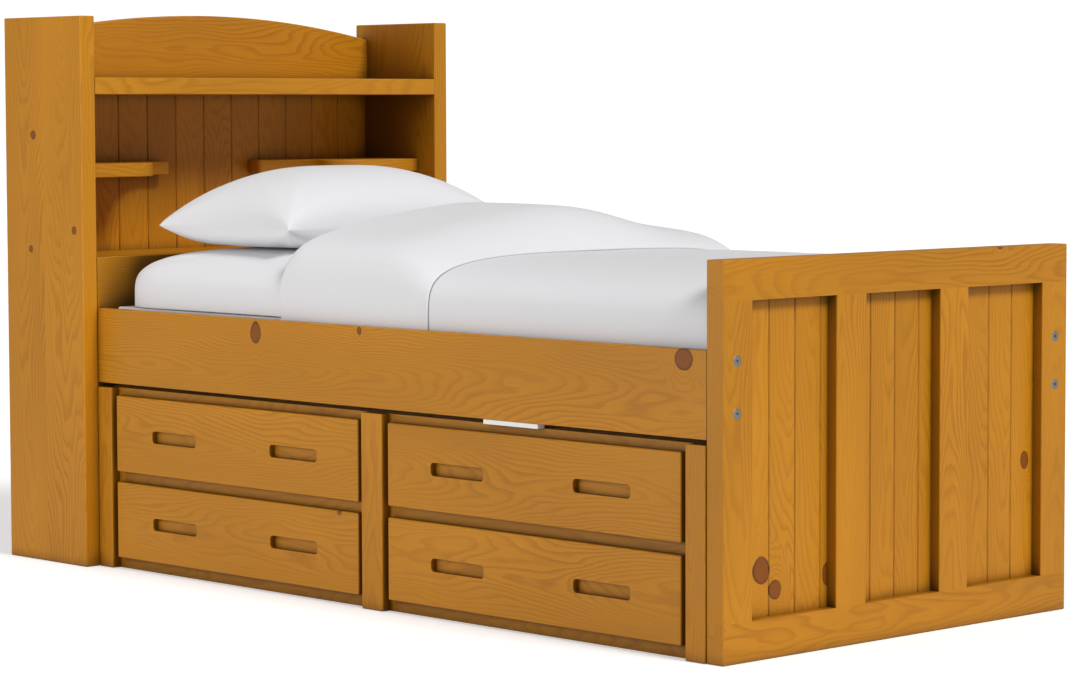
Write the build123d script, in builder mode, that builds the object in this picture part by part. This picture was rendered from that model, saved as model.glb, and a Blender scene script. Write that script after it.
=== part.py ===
"""Single bed with a bookcase headboard, a framed footboard and a four-drawer unit under the rails.

Millimetres. X runs across the bed, +Y towards the headboard, +Z up. The origin is on the floor, at the
middle of the bed's outline. The drawers open towards -X.
"""

import os
from math import sqrt

from build123d import *

os.makedirs("parts", exist_ok=True)

# Clear space inside the bed, and the general clearances
inner_length = 1930.0  # footboard to headboard
inner_width = 996.0  # between the side rails
edge_ease = 2.5  # radius on the exposed edges of every board
loose = 0.5  # between pieces that pass each other or rest on cloth

# Side rails
rail_thickness = 22.0
rail_height = 170.0
rail_underside = 425.0

# Footboard
foot_thickness = 44.0
foot_height = 766.0
foot_rail_height = 78.0
foot_stile_width = 81.0
mid_stile_width = 88.0
mid_stile_spacing = 312.0
foot_panel_recess = 24.0
foot_board_thickness = 12.0
foot_board_pitch = 73.5
foot_tongue = 10.0  # how far the boards run into the stiles
tenon_depth = 25.0  # how far the stiles and boards run into the two rails
v_joint = 2.5  # chamfer on each side of a joint between boards
board_tongue = 5.0  # tongue between one board and the next, square in section

# Headboard
side_thickness = 40.0
head_depth = 302.0
head_height = 1264.0
housing_depth = 10.0  # shelves let into the side panels
housing_stop = 15.0  # the housings stop this far behind the front
panel_ease = 3.0  # radius on the edges of the side panels
side_above_shelf = 140.0  # top of the side panels above the top shelf
top_shelf_thickness = 39.0
crest_thickness = 22.0
crest_setback = 43.0  # front of the crest to the back of the side panels
crest_lip = 6.0  # the top shelf runs on behind the crest
crest_end_height = 102.0
crest_rise = 52.0
back_board_thickness = 12.0
back_board_setback = 34.0  # face of the back boards to the back of the side panels
back_board_pitch = 86.0
back_board_housing = 8.0
panel_above_rail = 118.0
panel_below_rail = 45.0
panel_thickness = 25.0
bottom_shelf_thickness = 25.0
ogee_shelf_drop = 199.0  # below the top shelf
ogee_shelf_thickness = 32.0
ogee_shelf_recess = 67.0
ogee_shelf_length = 382.0
ogee_flat = 174.0  # straight front beside the side panel
ogee_end_depth = 47.0  # depth of the shelf's narrow end
ogee_end_radius = 12.0
back_rail_height = 110.0
back_rail_underside = 60.0
back_rail_thickness = 22.0
back_rail_setback = 18.0  # to the back of the side panels
dowel_radius = 5.0
dowel_in_side = 22.0
dowel_in_rail = 30.0
dowel_margin = 25.0  # dowel to the edge of the crest or the back rail
dowel_spacing = 50.0  # in the end of the crest
panel_dowel_margin = 60.0  # dowel to the edge of the front panel

# Fixings between the rails and the two ends
bolt_inset = 16.0  # bolt axis to the inner face of the rail
bolt_above_edge = 50.0  # lower bolt above the underside of the rail
bolt_below_edge = 20.0  # upper bolt below the top of the rail
bolt_radius = 4.0
bolt_head_radius = 10.5
bolt_head_thickness = 2.5
bolt_socket_radius = 3.4
bolt_ease = 0.8
bolt_past_nut = 1.0
nut_radius = 7.5
nut_thickness = 6.5
bracket_thickness = 3.0
bracket_flange = 30.0
bracket_leg = 45.0
bracket_past_bolt = 16.0  # end of the bracket beyond each bolt
screw_radius = 2.2
screw_head_radius = 4.5
screw_head_height = 2.0
screw_length = 18.0
screw_from_end = 27.0  # to the end of the rail
screw_from_bolt = 5.0  # nearer the middle of the bracket than the bolt

# Slats
cleat_width = 25.0
cleat_height = 38.0
slat_drop = 46.0  # top of the slats below the top of the rails
slat_thickness = 19.0
slat_width = 70.0
slat_count = 13
slat_side_gap = 4.0  # end of a slat to the rail
cleat_end_gap = 5.0  # cleat to bracket

# Under-bed unit
unit_depth = 508.0
rail_gap = 10.0  # top of the unit to the underside of the rail
unit_end_gap = 0.5
post_stand = 3.5  # the posts stand this far proud of the drawer fronts
post_width = 52.0
post_mid_width = 66.0
face_thickness = 19.0
front_thickness = 18.0
front_side_gap = 14.5  # drawer front to post
front_gap = 24.0  # between the two drawer fronts
front_bottom_gap = 26.0
front_top_gap = 17.0  # upper drawer front to the top of the unit
front_overlay = 8.0  # drawer front over the face frame, on all sides
front_ease = 3.5
pull_length = 160.0
pull_height = 28.0
pull_depth = 13.0
pull_corner = 9.0
pull_offset = 210.0  # middle of the drawer to the middle of each pull
unit_panel_thickness = 18.0
unit_back_thickness = 6.0
stretcher_width = 80.0
stretcher_thickness = 19.0
slide_width = 12.7
slide_wall = 1.5
slide_height = 36.0
slide_play = 0.5
slide_overlap = 2.5  # the fixed member stops this far short of the drawer box
slide_setback = 2.0  # slides behind the face frame
box_back_room = 34.0  # drawer box to the back panel
box_lift = 8.0  # drawer box above the rail under it
box_headroom = 20.0  # drawer box below the rail over it
box_side = 12.0
box_bottom = 6.0
box_groove = 6.0
packer_length = 160.0
packer_width = 20.0
packer_overhang = 16.5  # in front of the face frame
packer_ease = 1.0
packer_from_foot = 544.0  # middle of the packer to the inner face of the footboard

# Bedding
base_thickness = 50.0
base_side_gap = 9.0
base_foot_gap = 13.0
base_head_gap = 25.0
base_corner = 12.0
base_ease = 6.0
mattress_thickness = 140.0
mattress_side_gap = 11.0
mattress_foot_gap = 2.0
mattress_head_gap = 48.0
mattress_corner = 75.0
mattress_roll = 60.0
mattress_low_roll = 12.0
duvet_rail_gap = 2.0
duvet_from_pillow = 65.0
duvet_edge_lift = 2.0
duvet_crown = 104.0
duvet_foot_crown = 6.0
duvet_foot_flat = 815.0
duvet_rise_end = 1054.0
duvet_hem_gap = 5.0
pillow_length = 670.0
pillow_width = 470.0
pillow_height = 180.0
pillow_corner = 90.0
pillow_top_roll = 84.0
pillow_low_roll = 69.0
pillow_offset = -80.0
pillow_from_head = 95.0

# Places worked out from the sizes above
bed_width = inner_width + 2 * rail_thickness
half_bed = bed_width / 2
half_inner = inner_width / 2
bed_length = foot_thickness + inner_length + head_depth
foot_face = -bed_length / 2
foot_back = foot_face + foot_thickness
head_front = foot_back + inner_length
head_back = head_front + head_depth
rail_top = rail_underside + rail_height
panel_front = foot_face + foot_panel_recess
panel_back = panel_front + foot_board_thickness
stile_inner = half_bed - foot_stile_width
foot_rail_top = foot_height - foot_rail_height
side_outer = half_bed + side_thickness
panel_top = rail_top + panel_above_rail
panel_bottom = rail_underside - panel_below_rail
top_shelf_height = head_height - side_above_shelf
ogee_shelf_height = top_shelf_height - ogee_shelf_drop
back_board_face = head_back - back_board_setback
top_shelf_underside = top_shelf_height - top_shelf_thickness
bolt_x = half_inner - bolt_inset
bolt_heights = [rail_underside + bolt_above_edge, rail_top - bolt_below_edge]
bracket_span = (bolt_heights[0] - bracket_past_bolt, bolt_heights[1] + bracket_past_bolt)
slat_top = rail_top - slat_drop
base_bottom = slat_top
base_top = base_bottom + base_thickness
mattress_bottom = base_top + loose
mattress_top = mattress_bottom + mattress_thickness
half_mattress = half_inner - mattress_side_gap

post_face = -half_bed
unit_height = rail_underside - rail_gap
face_front = post_face + front_thickness + loose
face_back = face_front + face_thickness
unit_back = post_face + unit_depth
unit_foot = foot_back + unit_end_gap
unit_head = head_front - unit_end_gap
end_stile_width = post_width + front_side_gap + front_overlay
mid_stile_face = post_mid_width + 2 * (front_side_gap + front_overlay)
opening_width = (unit_head - unit_foot - 2 * end_stile_width - mid_stile_face) / 2
front_height = (unit_height - front_bottom_gap - front_gap - front_top_gap) / 2
bays = {
    "foot": unit_foot + end_stile_width,
    "head": unit_head - end_stile_width - opening_width,
}
levels = {
    "bottom": front_bottom_gap,
    "top": front_bottom_gap + front_height + front_gap,
}
bottom_rail_top = levels["bottom"] + front_overlay
mid_rail_bottom = levels["bottom"] + front_height - front_overlay
mid_rail_top = levels["top"] + front_overlay
top_rail_bottom = levels["top"] + front_height - front_overlay
box_width = opening_width - 2 * slide_width
box_front = post_face + front_thickness
box_back = unit_back - unit_back_thickness - box_back_room
box_height = front_height - 2 * front_overlay - box_lift - box_headroom
slide_front = face_back + slide_setback
slide_back = slide_front + box_back - box_front


def middle(span):
    """The middle of a (low, high) span."""
    return (span[0] + span[1]) / 2


def block(x, y, z):
    """A sharp-edged block between two corners, for cutting or as a plain piece."""
    with BuildPart(mode=Mode.PRIVATE) as piece:
        with BuildSketch(Plane.XY.offset(z[0])):
            with Locations((middle(x), middle(y))):
                Rectangle(x[1] - x[0], y[1] - y[0])
        extrude(amount=z[1] - z[0])
    return piece.part


def board(x, y, z, sharp="", ease=edge_ease):
    """A board between two corners, its edges rounded except round the faces named in sharp."""
    spans = {"X": (0, x), "Y": (1, y), "Z": (2, z)}
    kept = [(spans[face[1]][0], spans[face[1]][1][face[0] == "+"]) for face in sharp.split()]
    with BuildPart(mode=Mode.PRIVATE) as piece:
        add(block(x, y, z))
        eased = [
            edge
            for edge in piece.edges()
            if all(abs(tuple(edge.center())[axis] - place) > 0.01 for axis, place in kept)
        ]
        fillet(eased, ease)
    return piece.part


def along_y(x, y, z):
    """A plane at a point, facing -Y, for holes that run in towards +Y."""
    return Plane(origin=(x, y, z), x_dir=(1, 0, 0), z_dir=(0, -1, 0))


def rod(start, direction, radius, length):
    """A round bar from a point along a direction."""
    with BuildPart(mode=Mode.PRIVATE) as piece:
        with BuildSketch(Plane(origin=start, z_dir=direction)):
            Circle(radius)
        extrude(amount=length)
    return piece.part


def save(piece, name):
    """Name a finished piece and write it."""
    piece.part.label = name
    export_step(piece.part, f"parts/{name}.step")


def save_group(pieces, name):
    """Name and write pieces that share a node but stay separate solids, face to face."""
    group = Compound(label=name, children=pieces)
    export_step(group, f"parts/{name}.step")


def board_edges(half_width, pitch):
    """Edges of a field of boards centred on X = 0, whose outermost boards take up what is left."""
    count = int(half_width // pitch)
    if half_width - count * pitch < pitch / 2:
        count -= 1
    return [-half_width, *(i * pitch for i in range(-count, count + 1)), half_width]


def v_jointed_boards(half_width, pitch, y, z):
    """A field of upright tongued boards whose touching edges are chamfered into V joints on both faces."""
    edges = board_edges(half_width, pitch)
    tongue_y = (middle(y) - board_tongue / 2, middle(y) + board_tongue / 2)
    field = []
    for left, right in zip(edges, edges[1:]):
        with BuildPart() as strip:
            add(block((left, right), y, z))
            chamfer(strip.edges().filter_by(Axis.Z), v_joint)
            if left > edges[0]:
                add(block((left, left + board_tongue), tongue_y, z), mode=Mode.SUBTRACT)
            if right < edges[-1]:
                add(block((right, right + board_tongue), tongue_y, z))
        field.append(strip.part)
    return field


# ---------------------------------------------------------------- footboard


def footboard_rail(name, z, groove_z, inner_face):
    """A rail as wide as the bed, grooved end to end for the tongues of stiles and boards."""
    with BuildPart() as rail:
        add(board((-half_bed, half_bed), (foot_face, foot_back), z, sharp=inner_face))
        add(block((-half_bed, half_bed), (panel_front, panel_back), groove_z), mode=Mode.SUBTRACT)
    save(rail, name)


def footboard_stile(name, side):
    """An outer stile, tongued into both rails, grooved for the boards and bored for the rail bolts."""
    x = sorted((side * stile_inner, side * half_bed))
    groove_x = sorted((side * stile_inner, side * (stile_inner + foot_tongue)))
    inner = "-X" if side > 0 else "+X"
    tongue_z = (foot_rail_height - tenon_depth + loose, foot_rail_top + tenon_depth - loose)
    with BuildPart() as stile:
        add(board(x, (foot_face, foot_back), (foot_rail_height, foot_rail_top), sharp="-Z +Z"))
        add(block(x, (panel_front, panel_back), tongue_z))
        add(block(groove_x, (panel_front, panel_back), tongue_z), mode=Mode.SUBTRACT)
        for height in bolt_heights:
            with Locations(along_y(side * bolt_x, foot_face, height)):
                CounterBoreHole(bolt_radius, bolt_head_radius, bolt_head_thickness)
    save(stile, name)


def footboard_boards():
    """The field of V-jointed boards behind the middle stiles."""
    gap = tenon_depth - 2 * loose
    z = (foot_rail_height - gap, foot_rail_top + gap)
    boards = v_jointed_boards(stile_inner + foot_tongue, foot_board_pitch, (panel_front, panel_back), z)
    save_group(boards, "footboard_boards")


def footboard_mid_stile(name, side):
    """A middle stile laid on the outer face of the boards, flush with the frame."""
    centre = side * mid_stile_spacing / 2
    x = (centre - mid_stile_width / 2, centre + mid_stile_width / 2)
    with BuildPart() as stile:
        add(board(x, (foot_face, panel_front), (foot_rail_height, foot_rail_top), sharp="+Y -Z +Z"))
    save(stile, name)


def footboard_inner_battens():
    """Battens behind the middle stiles, on the mattress side of the boards."""
    with BuildPart() as battens:
        for side in (-1, 1):
            centre = side * mid_stile_spacing / 2
            x = (centre - mid_stile_width / 2, centre + mid_stile_width / 2)
            add(board(x, (panel_back, foot_back), (foot_rail_height, foot_rail_top), sharp="-Y -Z +Z"))
    save(battens, "footboard_inner_battens")


def footboard():
    top_groove = (foot_rail_top, foot_rail_top + tenon_depth)
    bottom_groove = (foot_rail_height - tenon_depth, foot_rail_height)
    footboard_rail("footboard_top_rail", (foot_rail_top, foot_height), top_groove, "-Z")
    footboard_rail("footboard_bottom_rail", (0, foot_rail_height), bottom_groove, "+Z")
    footboard_stile("footboard_stile_left", -1)
    footboard_stile("footboard_stile_right", 1)
    footboard_boards()
    footboard_mid_stile("footboard_mid_stile_left", -1)
    footboard_mid_stile("footboard_mid_stile_right", 1)
    footboard_inner_battens()


# ---------------------------------------------------------------- headboard

ogee_back = back_board_face
ogee_front = head_front + ogee_shelf_recess
ogee_radius = (ogee_back - ogee_end_depth - ogee_front) / 2
crest_middle = head_back - crest_setback + crest_thickness / 2
top_shelf_back = head_back - crest_setback + crest_thickness + crest_lip
back_rail_back = head_back - back_rail_setback
back_rail_middle = back_rail_back - back_rail_thickness / 2
front_panel_middle = head_front + panel_thickness / 2
dowel_places = [
    (crest_middle, top_shelf_height + dowel_margin),
    (crest_middle, top_shelf_height + dowel_margin + dowel_spacing),
    (back_rail_middle, back_rail_underside + dowel_margin),
    (back_rail_middle, back_rail_underside + back_rail_height - dowel_margin),
    (front_panel_middle, panel_bottom + panel_dowel_margin),
    (front_panel_middle, (panel_bottom + panel_top) / 2),
    (front_panel_middle, panel_top - panel_dowel_margin),
]


def dowel_holes(side, faces_side_panel):
    """The dowel bars at one side of the headboard, cut from a panel or from what butts against it."""
    depth = dowel_in_side if faces_side_panel else dowel_in_rail
    direction = (side if faces_side_panel else -side, 0, 0)
    return [rod((side * half_bed, y, z), direction, dowel_radius, depth) for y, z in dowel_places]


def headboard_side(name, side):
    """A deep side panel with stopped housings for the shelves, the back boards and the dowels."""
    x = sorted((side * half_bed, side * side_outer))
    housing_x = sorted((side * half_bed, side * (half_bed + housing_depth)))
    back_x = sorted((side * half_bed, side * (half_bed + back_board_housing)))
    top_shelf_y = (head_front + housing_stop, top_shelf_back)
    ogee_shelf_z = (ogee_shelf_height - ogee_shelf_thickness, ogee_shelf_height)
    bottom_shelf_y = (head_front + panel_thickness, back_board_face)
    bottom_shelf_z = (panel_top - bottom_shelf_thickness, panel_top)
    back_y = (back_board_face, back_board_face + back_board_thickness)
    housings = [
        (housing_x, top_shelf_y, (top_shelf_underside, top_shelf_height)),
        (housing_x, bottom_shelf_y, bottom_shelf_z),
        (housing_x, (ogee_front + housing_stop, ogee_back), ogee_shelf_z),
        (back_x, back_y, (panel_bottom, top_shelf_underside)),
    ]
    with BuildPart() as panel:
        add(board(x, (head_front, head_back), (0, head_height), ease=panel_ease))
        for housing in housings:
            add(block(*housing), mode=Mode.SUBTRACT)
        for hole in dowel_holes(side, True):
            add(hole, mode=Mode.SUBTRACT)
    save(panel, name)


def headboard_top_shelf():
    """The shelf between the side panels, flush with their front edges and carrying the crest."""
    z = (top_shelf_underside, top_shelf_height)
    ears = (head_front + housing_stop, top_shelf_back)
    with BuildPart() as shelf:
        add(board((-half_bed, half_bed), (head_front, top_shelf_back), z, sharp="-X +X +Y"))
        add(block((-half_bed - housing_depth, half_bed + housing_depth), ears, z))
    save(shelf, "headboard_top_shelf")


def headboard_crest():
    """The arched board that stands on the back of the top shelf."""
    y = head_back - crest_setback
    with BuildPart() as crest:
        with BuildSketch(Plane.XZ.offset(-y - crest_thickness)):
            with BuildLine():
                base = Line((-half_bed, top_shelf_height), (half_bed, top_shelf_height))
                right = Line(base @ 1, (half_bed, top_shelf_height + crest_end_height))
                left = Line(base @ 0, (-half_bed, top_shelf_height + crest_end_height))
                ThreePointArc(left @ 1, (0, top_shelf_height + crest_end_height + crest_rise), right @ 1)
            make_face()
        extrude(amount=crest_thickness)
        fillet(crest.edges().filter_by(GeomType.CIRCLE), edge_ease)
        for side in (-1, 1):
            for hole in dowel_holes(side, False):
                add(hole, mode=Mode.SUBTRACT)
    save(crest, "headboard_crest")


def headboard_back_boards():
    """V-jointed boards let into the side panels, from the top shelf down behind the mattress."""
    y = (back_board_face, back_board_face + back_board_thickness)
    z = (panel_bottom, top_shelf_underside)
    boards = v_jointed_boards(half_bed + back_board_housing, back_board_pitch, y, z)
    save_group(boards, "headboard_back_boards")


def headboard_ogee_shelf(name, side):
    """A shelf whose front sweeps back in an ogee to a narrow, rounded end."""
    flat_end = half_bed - ogee_flat
    quarter = ogee_radius / sqrt(2)
    free_end = half_bed - ogee_shelf_length
    narrow_front = ogee_front + 2 * ogee_radius
    turn = flat_end - ogee_radius
    with BuildPart() as shelf:
        with BuildSketch(Plane.XY.offset(ogee_shelf_height - ogee_shelf_thickness)):
            with BuildLine():
                front = Line((side * half_bed, ogee_front), (side * flat_end, ogee_front))
                convex = ThreePointArc(
                    front @ 1,
                    (side * (flat_end - quarter), ogee_front + ogee_radius - quarter),
                    (side * turn, ogee_front + ogee_radius),
                )
                concave = ThreePointArc(
                    convex @ 1,
                    (side * (turn - ogee_radius + quarter), narrow_front - ogee_radius + quarter),
                    (side * (turn - ogee_radius), narrow_front),
                )
                tip = Line(concave @ 1, (side * free_end, narrow_front))
                end = Line(tip @ 1, (side * free_end, ogee_back))
                back = Line(end @ 1, (side * half_bed, ogee_back))
                Line(back @ 1, front @ 0)
            make_face()
        extrude(amount=ogee_shelf_thickness)
        tip_corner = (side * free_end, narrow_front, ogee_shelf_height)
        fillet(shelf.edges().filter_by(Axis.Z).sort_by_distance(tip_corner)[0], ogee_end_radius)
        rims = [
            edge
            for edge in shelf.edges().group_by(Axis.Z)[0] + shelf.edges().group_by(Axis.Z)[-1]
            if abs(edge.center().Y - ogee_back) > 0.01 and abs(abs(edge.center().X) - half_bed) > 0.01
        ]
        fillet(rims, edge_ease)
        ear_x = sorted((side * half_bed, side * (half_bed + housing_depth)))
        ear_z = (ogee_shelf_height - ogee_shelf_thickness, ogee_shelf_height)
        add(block(ear_x, (ogee_front + housing_stop, ogee_back), ear_z))
    save(shelf, name)


def headboard_bottom_shelf():
    """The shelf behind the lower front panel, level with its top."""
    reach = half_bed + housing_depth
    z = (panel_top - bottom_shelf_thickness, panel_top)
    with BuildPart() as shelf:
        add(block((-reach, reach), (head_front + panel_thickness, back_board_face), z))
    save(shelf, "headboard_bottom_shelf")


def headboard_front_panel():
    """The lower front panel that the side rails are bolted to."""
    with BuildPart() as panel:
        y = (head_front, head_front + panel_thickness)
        add(board((-half_bed, half_bed), y, (panel_bottom, panel_top), sharp="-X +X +Y"))
        for side in (-1, 1):
            for hole in dowel_holes(side, False):
                add(hole, mode=Mode.SUBTRACT)
            for height in bolt_heights:
                start = (side * bolt_x, head_front, height)
                add(rod(start, (0, 1, 0), bolt_radius, panel_thickness), mode=Mode.SUBTRACT)
    save(panel, "headboard_front_panel")


def headboard_back_rail():
    """The low rail that ties the side panels together at the back."""
    y = (back_rail_back - back_rail_thickness, back_rail_back)
    z = (back_rail_underside, back_rail_underside + back_rail_height)
    with BuildPart() as rail:
        add(board((-half_bed, half_bed), y, z, sharp="-X +X"))
        for side in (-1, 1):
            for hole in dowel_holes(side, False):
                add(hole, mode=Mode.SUBTRACT)
    save(rail, "headboard_back_rail")


def headboard_dowels():
    """Dowels between the side panels and the crest, the back rail and the front panel."""
    length = dowel_in_side + dowel_in_rail
    with BuildPart() as dowels:
        for side in (-1, 1):
            for y, z in dowel_places:
                add(rod((side * (half_bed + dowel_in_side), y, z), (-side, 0, 0), dowel_radius, length))
    save(dowels, "headboard_dowels")


def headboard():
    headboard_side("headboard_side_left", -1)
    headboard_side("headboard_side_right", 1)
    headboard_top_shelf()
    headboard_crest()
    headboard_back_boards()
    headboard_ogee_shelf("headboard_ogee_shelf_left", -1)
    headboard_ogee_shelf("headboard_ogee_shelf_right", 1)
    headboard_bottom_shelf()
    headboard_front_panel()
    headboard_back_rail()
    headboard_dowels()


# ---------------------------------------------------------------- rails, fixings and slats

screw_heights = [bolt_heights[0] + screw_from_bolt, bolt_heights[1] - screw_from_bolt]
# The face that the bracket meets at each end of the bed, and which way is inwards
bed_ends = {"foot": (foot_back, 1), "head": (head_front, -1)}


def screw_places():
    """Where each bracket screw enters: side of the bed, Y and Z."""
    return [
        (side, face + inward * screw_from_end, height)
        for side in (-1, 1)
        for face, inward in bed_ends.values()
        for height in screw_heights
    ]


def side_rail(name, side):
    """A side rail that butts against the footboard and the headboard's front panel."""
    x = sorted((side * half_inner, side * half_bed))
    with BuildPart() as rail:
        add(board(x, (foot_back, head_front), (rail_underside, rail_top), sharp="-Y +Y"))
        for place, y, height in screw_places():
            if place == side:
                start = (side * half_inner, y, height)
                depth = screw_length - bracket_thickness
                add(rod(start, (side, 0, 0), screw_radius, depth), mode=Mode.SUBTRACT)
    save(rail, name)


def rail_brackets():
    """Four steel angles, each with one leg on a rail and one against an end of the bed."""
    with BuildPart() as brackets:
        for side in (-1, 1):
            for face, inward in bed_ends.values():
                leg_x = sorted((side * (half_inner - bracket_thickness), side * half_inner))
                flange_x = sorted((side * (half_inner - bracket_flange), side * half_inner))
                add(block(leg_x, sorted((face, face + inward * bracket_leg)), bracket_span))
                add(block(flange_x, sorted((face, face + inward * bracket_thickness)), bracket_span))
                for height in bolt_heights:
                    start = (side * bolt_x, face, height)
                    add(rod(start, (0, inward, 0), bolt_radius, bracket_thickness), mode=Mode.SUBTRACT)
        for side, y, height in screw_places():
            start = (side * half_inner, y, height)
            add(rod(start, (-side, 0, 0), screw_radius, bracket_thickness), mode=Mode.SUBTRACT)
    save(brackets, "rail_brackets")


def bracket_screws():
    """Pan-headed screws through the brackets into the rails."""
    with BuildPart() as screws:
        for side, y, height in screw_places():
            start = (side * (half_inner - bracket_thickness), y, height)
            add(rod(start, (side, 0, 0), screw_radius, screw_length))
            add(rod(start, (-side, 0, 0), screw_head_radius, screw_head_height))
    save(screws, "bracket_screws")


def flat_head_bolt(face, direction, x, height, length):
    """A bolt with a thin flat head and a hexagon socket; its shank starts under the head."""
    with BuildPart(mode=Mode.PRIVATE) as bolt:
        add(rod((x, face, height), (0, direction, 0), bolt_head_radius, bolt_head_thickness))
        add(rod((x, face, height), (0, direction, 0), bolt_radius, length))
        with BuildSketch(Plane(origin=(x, face, height), z_dir=(0, direction, 0))):
            RegularPolygon(bolt_socket_radius, 6)
        extrude(amount=bolt_head_thickness, mode=Mode.SUBTRACT)
        head_circles = bolt.edges().filter_by(GeomType.CIRCLE).group_by(SortBy.RADIUS)[-1]
        fillet(head_circles.sort_by(Axis((0, 0, 0), (0, direction, 0)))[0], bolt_ease)
    return bolt.part


def rail_bolts():
    """Bolts through the footboard stiles and through the headboard's front panel, with their nuts."""
    past_nut = bracket_thickness + nut_thickness + bolt_past_nut
    with BuildPart() as foot_bolts:
        for side in (-1, 1):
            for height in bolt_heights:
                add(flat_head_bolt(foot_face, 1, side * bolt_x, height, foot_thickness + past_nut))
    save(foot_bolts, "foot_bolts")
    with BuildPart() as head_bolts:
        for side in (-1, 1):
            for height in bolt_heights:
                face = head_front + panel_thickness + bolt_head_thickness
                length = panel_thickness + bolt_head_thickness + past_nut
                add(flat_head_bolt(face, -1, side * bolt_x, height, length))
    save(head_bolts, "head_bolts")


def hexagon_nut(start, direction):
    """A hexagon nut round a bolt, from a point along a direction."""
    with BuildPart() as nut:
        with BuildSketch(Plane(origin=start, z_dir=direction)):
            RegularPolygon(nut_radius, 6)
            Circle(bolt_radius, mode=Mode.SUBTRACT)
        extrude(amount=nut_thickness)
    return nut.part


def rail_nuts():
    """Hexagon nuts on the inner faces of the brackets."""
    nuts = [
        hexagon_nut((side * bolt_x, face + inward * bracket_thickness, height), (0, inward, 0))
        for side in (-1, 1)
        for face, inward in bed_ends.values()
        for height in bolt_heights
    ]
    save_group(nuts, "rail_nuts")


def slat_cleats():
    """A cleat along the inner face of each rail, clear of the brackets."""
    y = (foot_back + bracket_leg + cleat_end_gap, head_front - bracket_leg - cleat_end_gap)
    z = (slat_top - slat_thickness - cleat_height, slat_top - slat_thickness)
    with BuildPart() as cleats:
        for side in (-1, 1):
            x = sorted((side * (half_inner - cleat_width), side * half_inner))
            add(board(x, y, z, sharp="-X +X"))
    save(cleats, "slat_cleats")


def slats():
    """Slats across the two cleats."""
    first = foot_back + bracket_leg + slat_width / 2
    last = head_front - bracket_leg - slat_width / 2
    step = (last - first) / (slat_count - 1)
    reach = half_inner - slat_side_gap
    with BuildPart() as row:
        for i in range(slat_count):
            y = first + i * step
            z = (slat_top - slat_thickness, slat_top)
            add(board((-reach, reach), (y - slat_width / 2, y + slat_width / 2), z, sharp="-X +X"))
    save(row, "slats")


def rails():
    side_rail("side_rail_left", -1)
    side_rail("side_rail_right", 1)
    rail_brackets()
    bracket_screws()
    rail_bolts()
    rail_nuts()
    slat_cleats()
    slats()


# ---------------------------------------------------------------- under-bed unit


def unit_post(name, y):
    """A proud post on the face frame, from the floor to the top of the unit."""
    x = (post_face - post_stand, face_front)
    with BuildPart() as post:
        add(board(x, y, (0, unit_height), sharp="+X"))
    save(post, name)


def face_stiles():
    """The upright members of the recessed face frame."""
    middle_y = (unit_foot + unit_head) / 2
    spans = [
        (unit_foot, unit_foot + end_stile_width),
        (middle_y - mid_stile_face / 2, middle_y + mid_stile_face / 2),
        (unit_head - end_stile_width, unit_head),
    ]
    with BuildPart() as stiles:
        for span in spans:
            add(block((face_front, face_back), span, (0, unit_height)))
    save(stiles, "face_stiles")


def face_rails(name, z):
    """A level of the face frame: one length in each bay."""
    with BuildPart() as level:
        for start in bays.values():
            add(block((face_front, face_back), (start, start + opening_width), z))
    save(level, name)


def panel_spans():
    """The four upright panels, flush with the sides of the two openings."""
    return [
        span
        for start in bays.values()
        for span in (
            (start - unit_panel_thickness, start),
            (start + opening_width, start + opening_width + unit_panel_thickness),
        )
    ]


def unit_side_panels():
    """Upright panels that carry the slides."""
    x = (face_back, unit_back - unit_back_thickness)
    with BuildPart() as panels:
        for span in panel_spans():
            add(block(x, span, (0, unit_height - stretcher_thickness)))
    save(panels, "unit_side_panels")


def unit_back_panel():
    """The thin panel that closes the back of the unit."""
    with BuildPart() as panel:
        add(block((unit_back - unit_back_thickness, unit_back), (unit_foot, unit_head), (0, unit_height)))
    save(panel, "unit_back_panel")


def unit_top_stretchers():
    """Two stretchers over the upright panels, front and back."""
    z = (unit_height - stretcher_thickness, unit_height)
    behind = unit_back - unit_back_thickness
    with BuildPart() as stretchers:
        for x in ((face_back, face_back + stretcher_width), (behind - stretcher_width, behind)):
            add(block(x, (unit_foot, unit_head), z))
    save(stretchers, "unit_top_stretchers")


def slide_middle(level):
    """Height of the slides' middle on one level."""
    return levels[level] + front_overlay + box_lift + box_height / 2


def slide_member(back_face, open_face, x, middle_z, half_height):
    """A C-shaped steel member between two planes in Y."""
    inward = 1 if open_face > back_face else -1
    hollow_y = sorted((back_face + inward * slide_wall, open_face))
    hollow_z = (middle_z - half_height + slide_wall, middle_z + half_height - slide_wall)
    with BuildPart() as member:
        add(block(x, sorted((back_face, open_face)), (middle_z - half_height, middle_z + half_height)))
        add(block(x, hollow_y, hollow_z), mode=Mode.SUBTRACT)
    return member.part


def case_slides():
    """Fixed members, one on each side of each drawer, open towards the drawer."""
    members = []
    for start in bays.values():
        for wall, inward in ((start, 1), (start + opening_width, -1)):
            for level in levels:
                open_face = wall + inward * (slide_width - slide_overlap)
                x = (slide_front, slide_back)
                members.append(slide_member(wall, open_face, x, slide_middle(level), slide_height / 2))
    save_group(members, "case_slides")


def gap_packer():
    """A thin strip on top of the unit's front that keeps it from rattling against the rail."""
    y = foot_back + packer_from_foot
    x = (face_front - packer_overhang, face_front - packer_overhang + packer_width)
    z = (unit_height, rail_underside - loose)
    with BuildPart() as packer:
        add(board(x, (y - packer_length / 2, y + packer_length / 2), z, ease=packer_ease))
    save(packer, "gap_packer")


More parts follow.
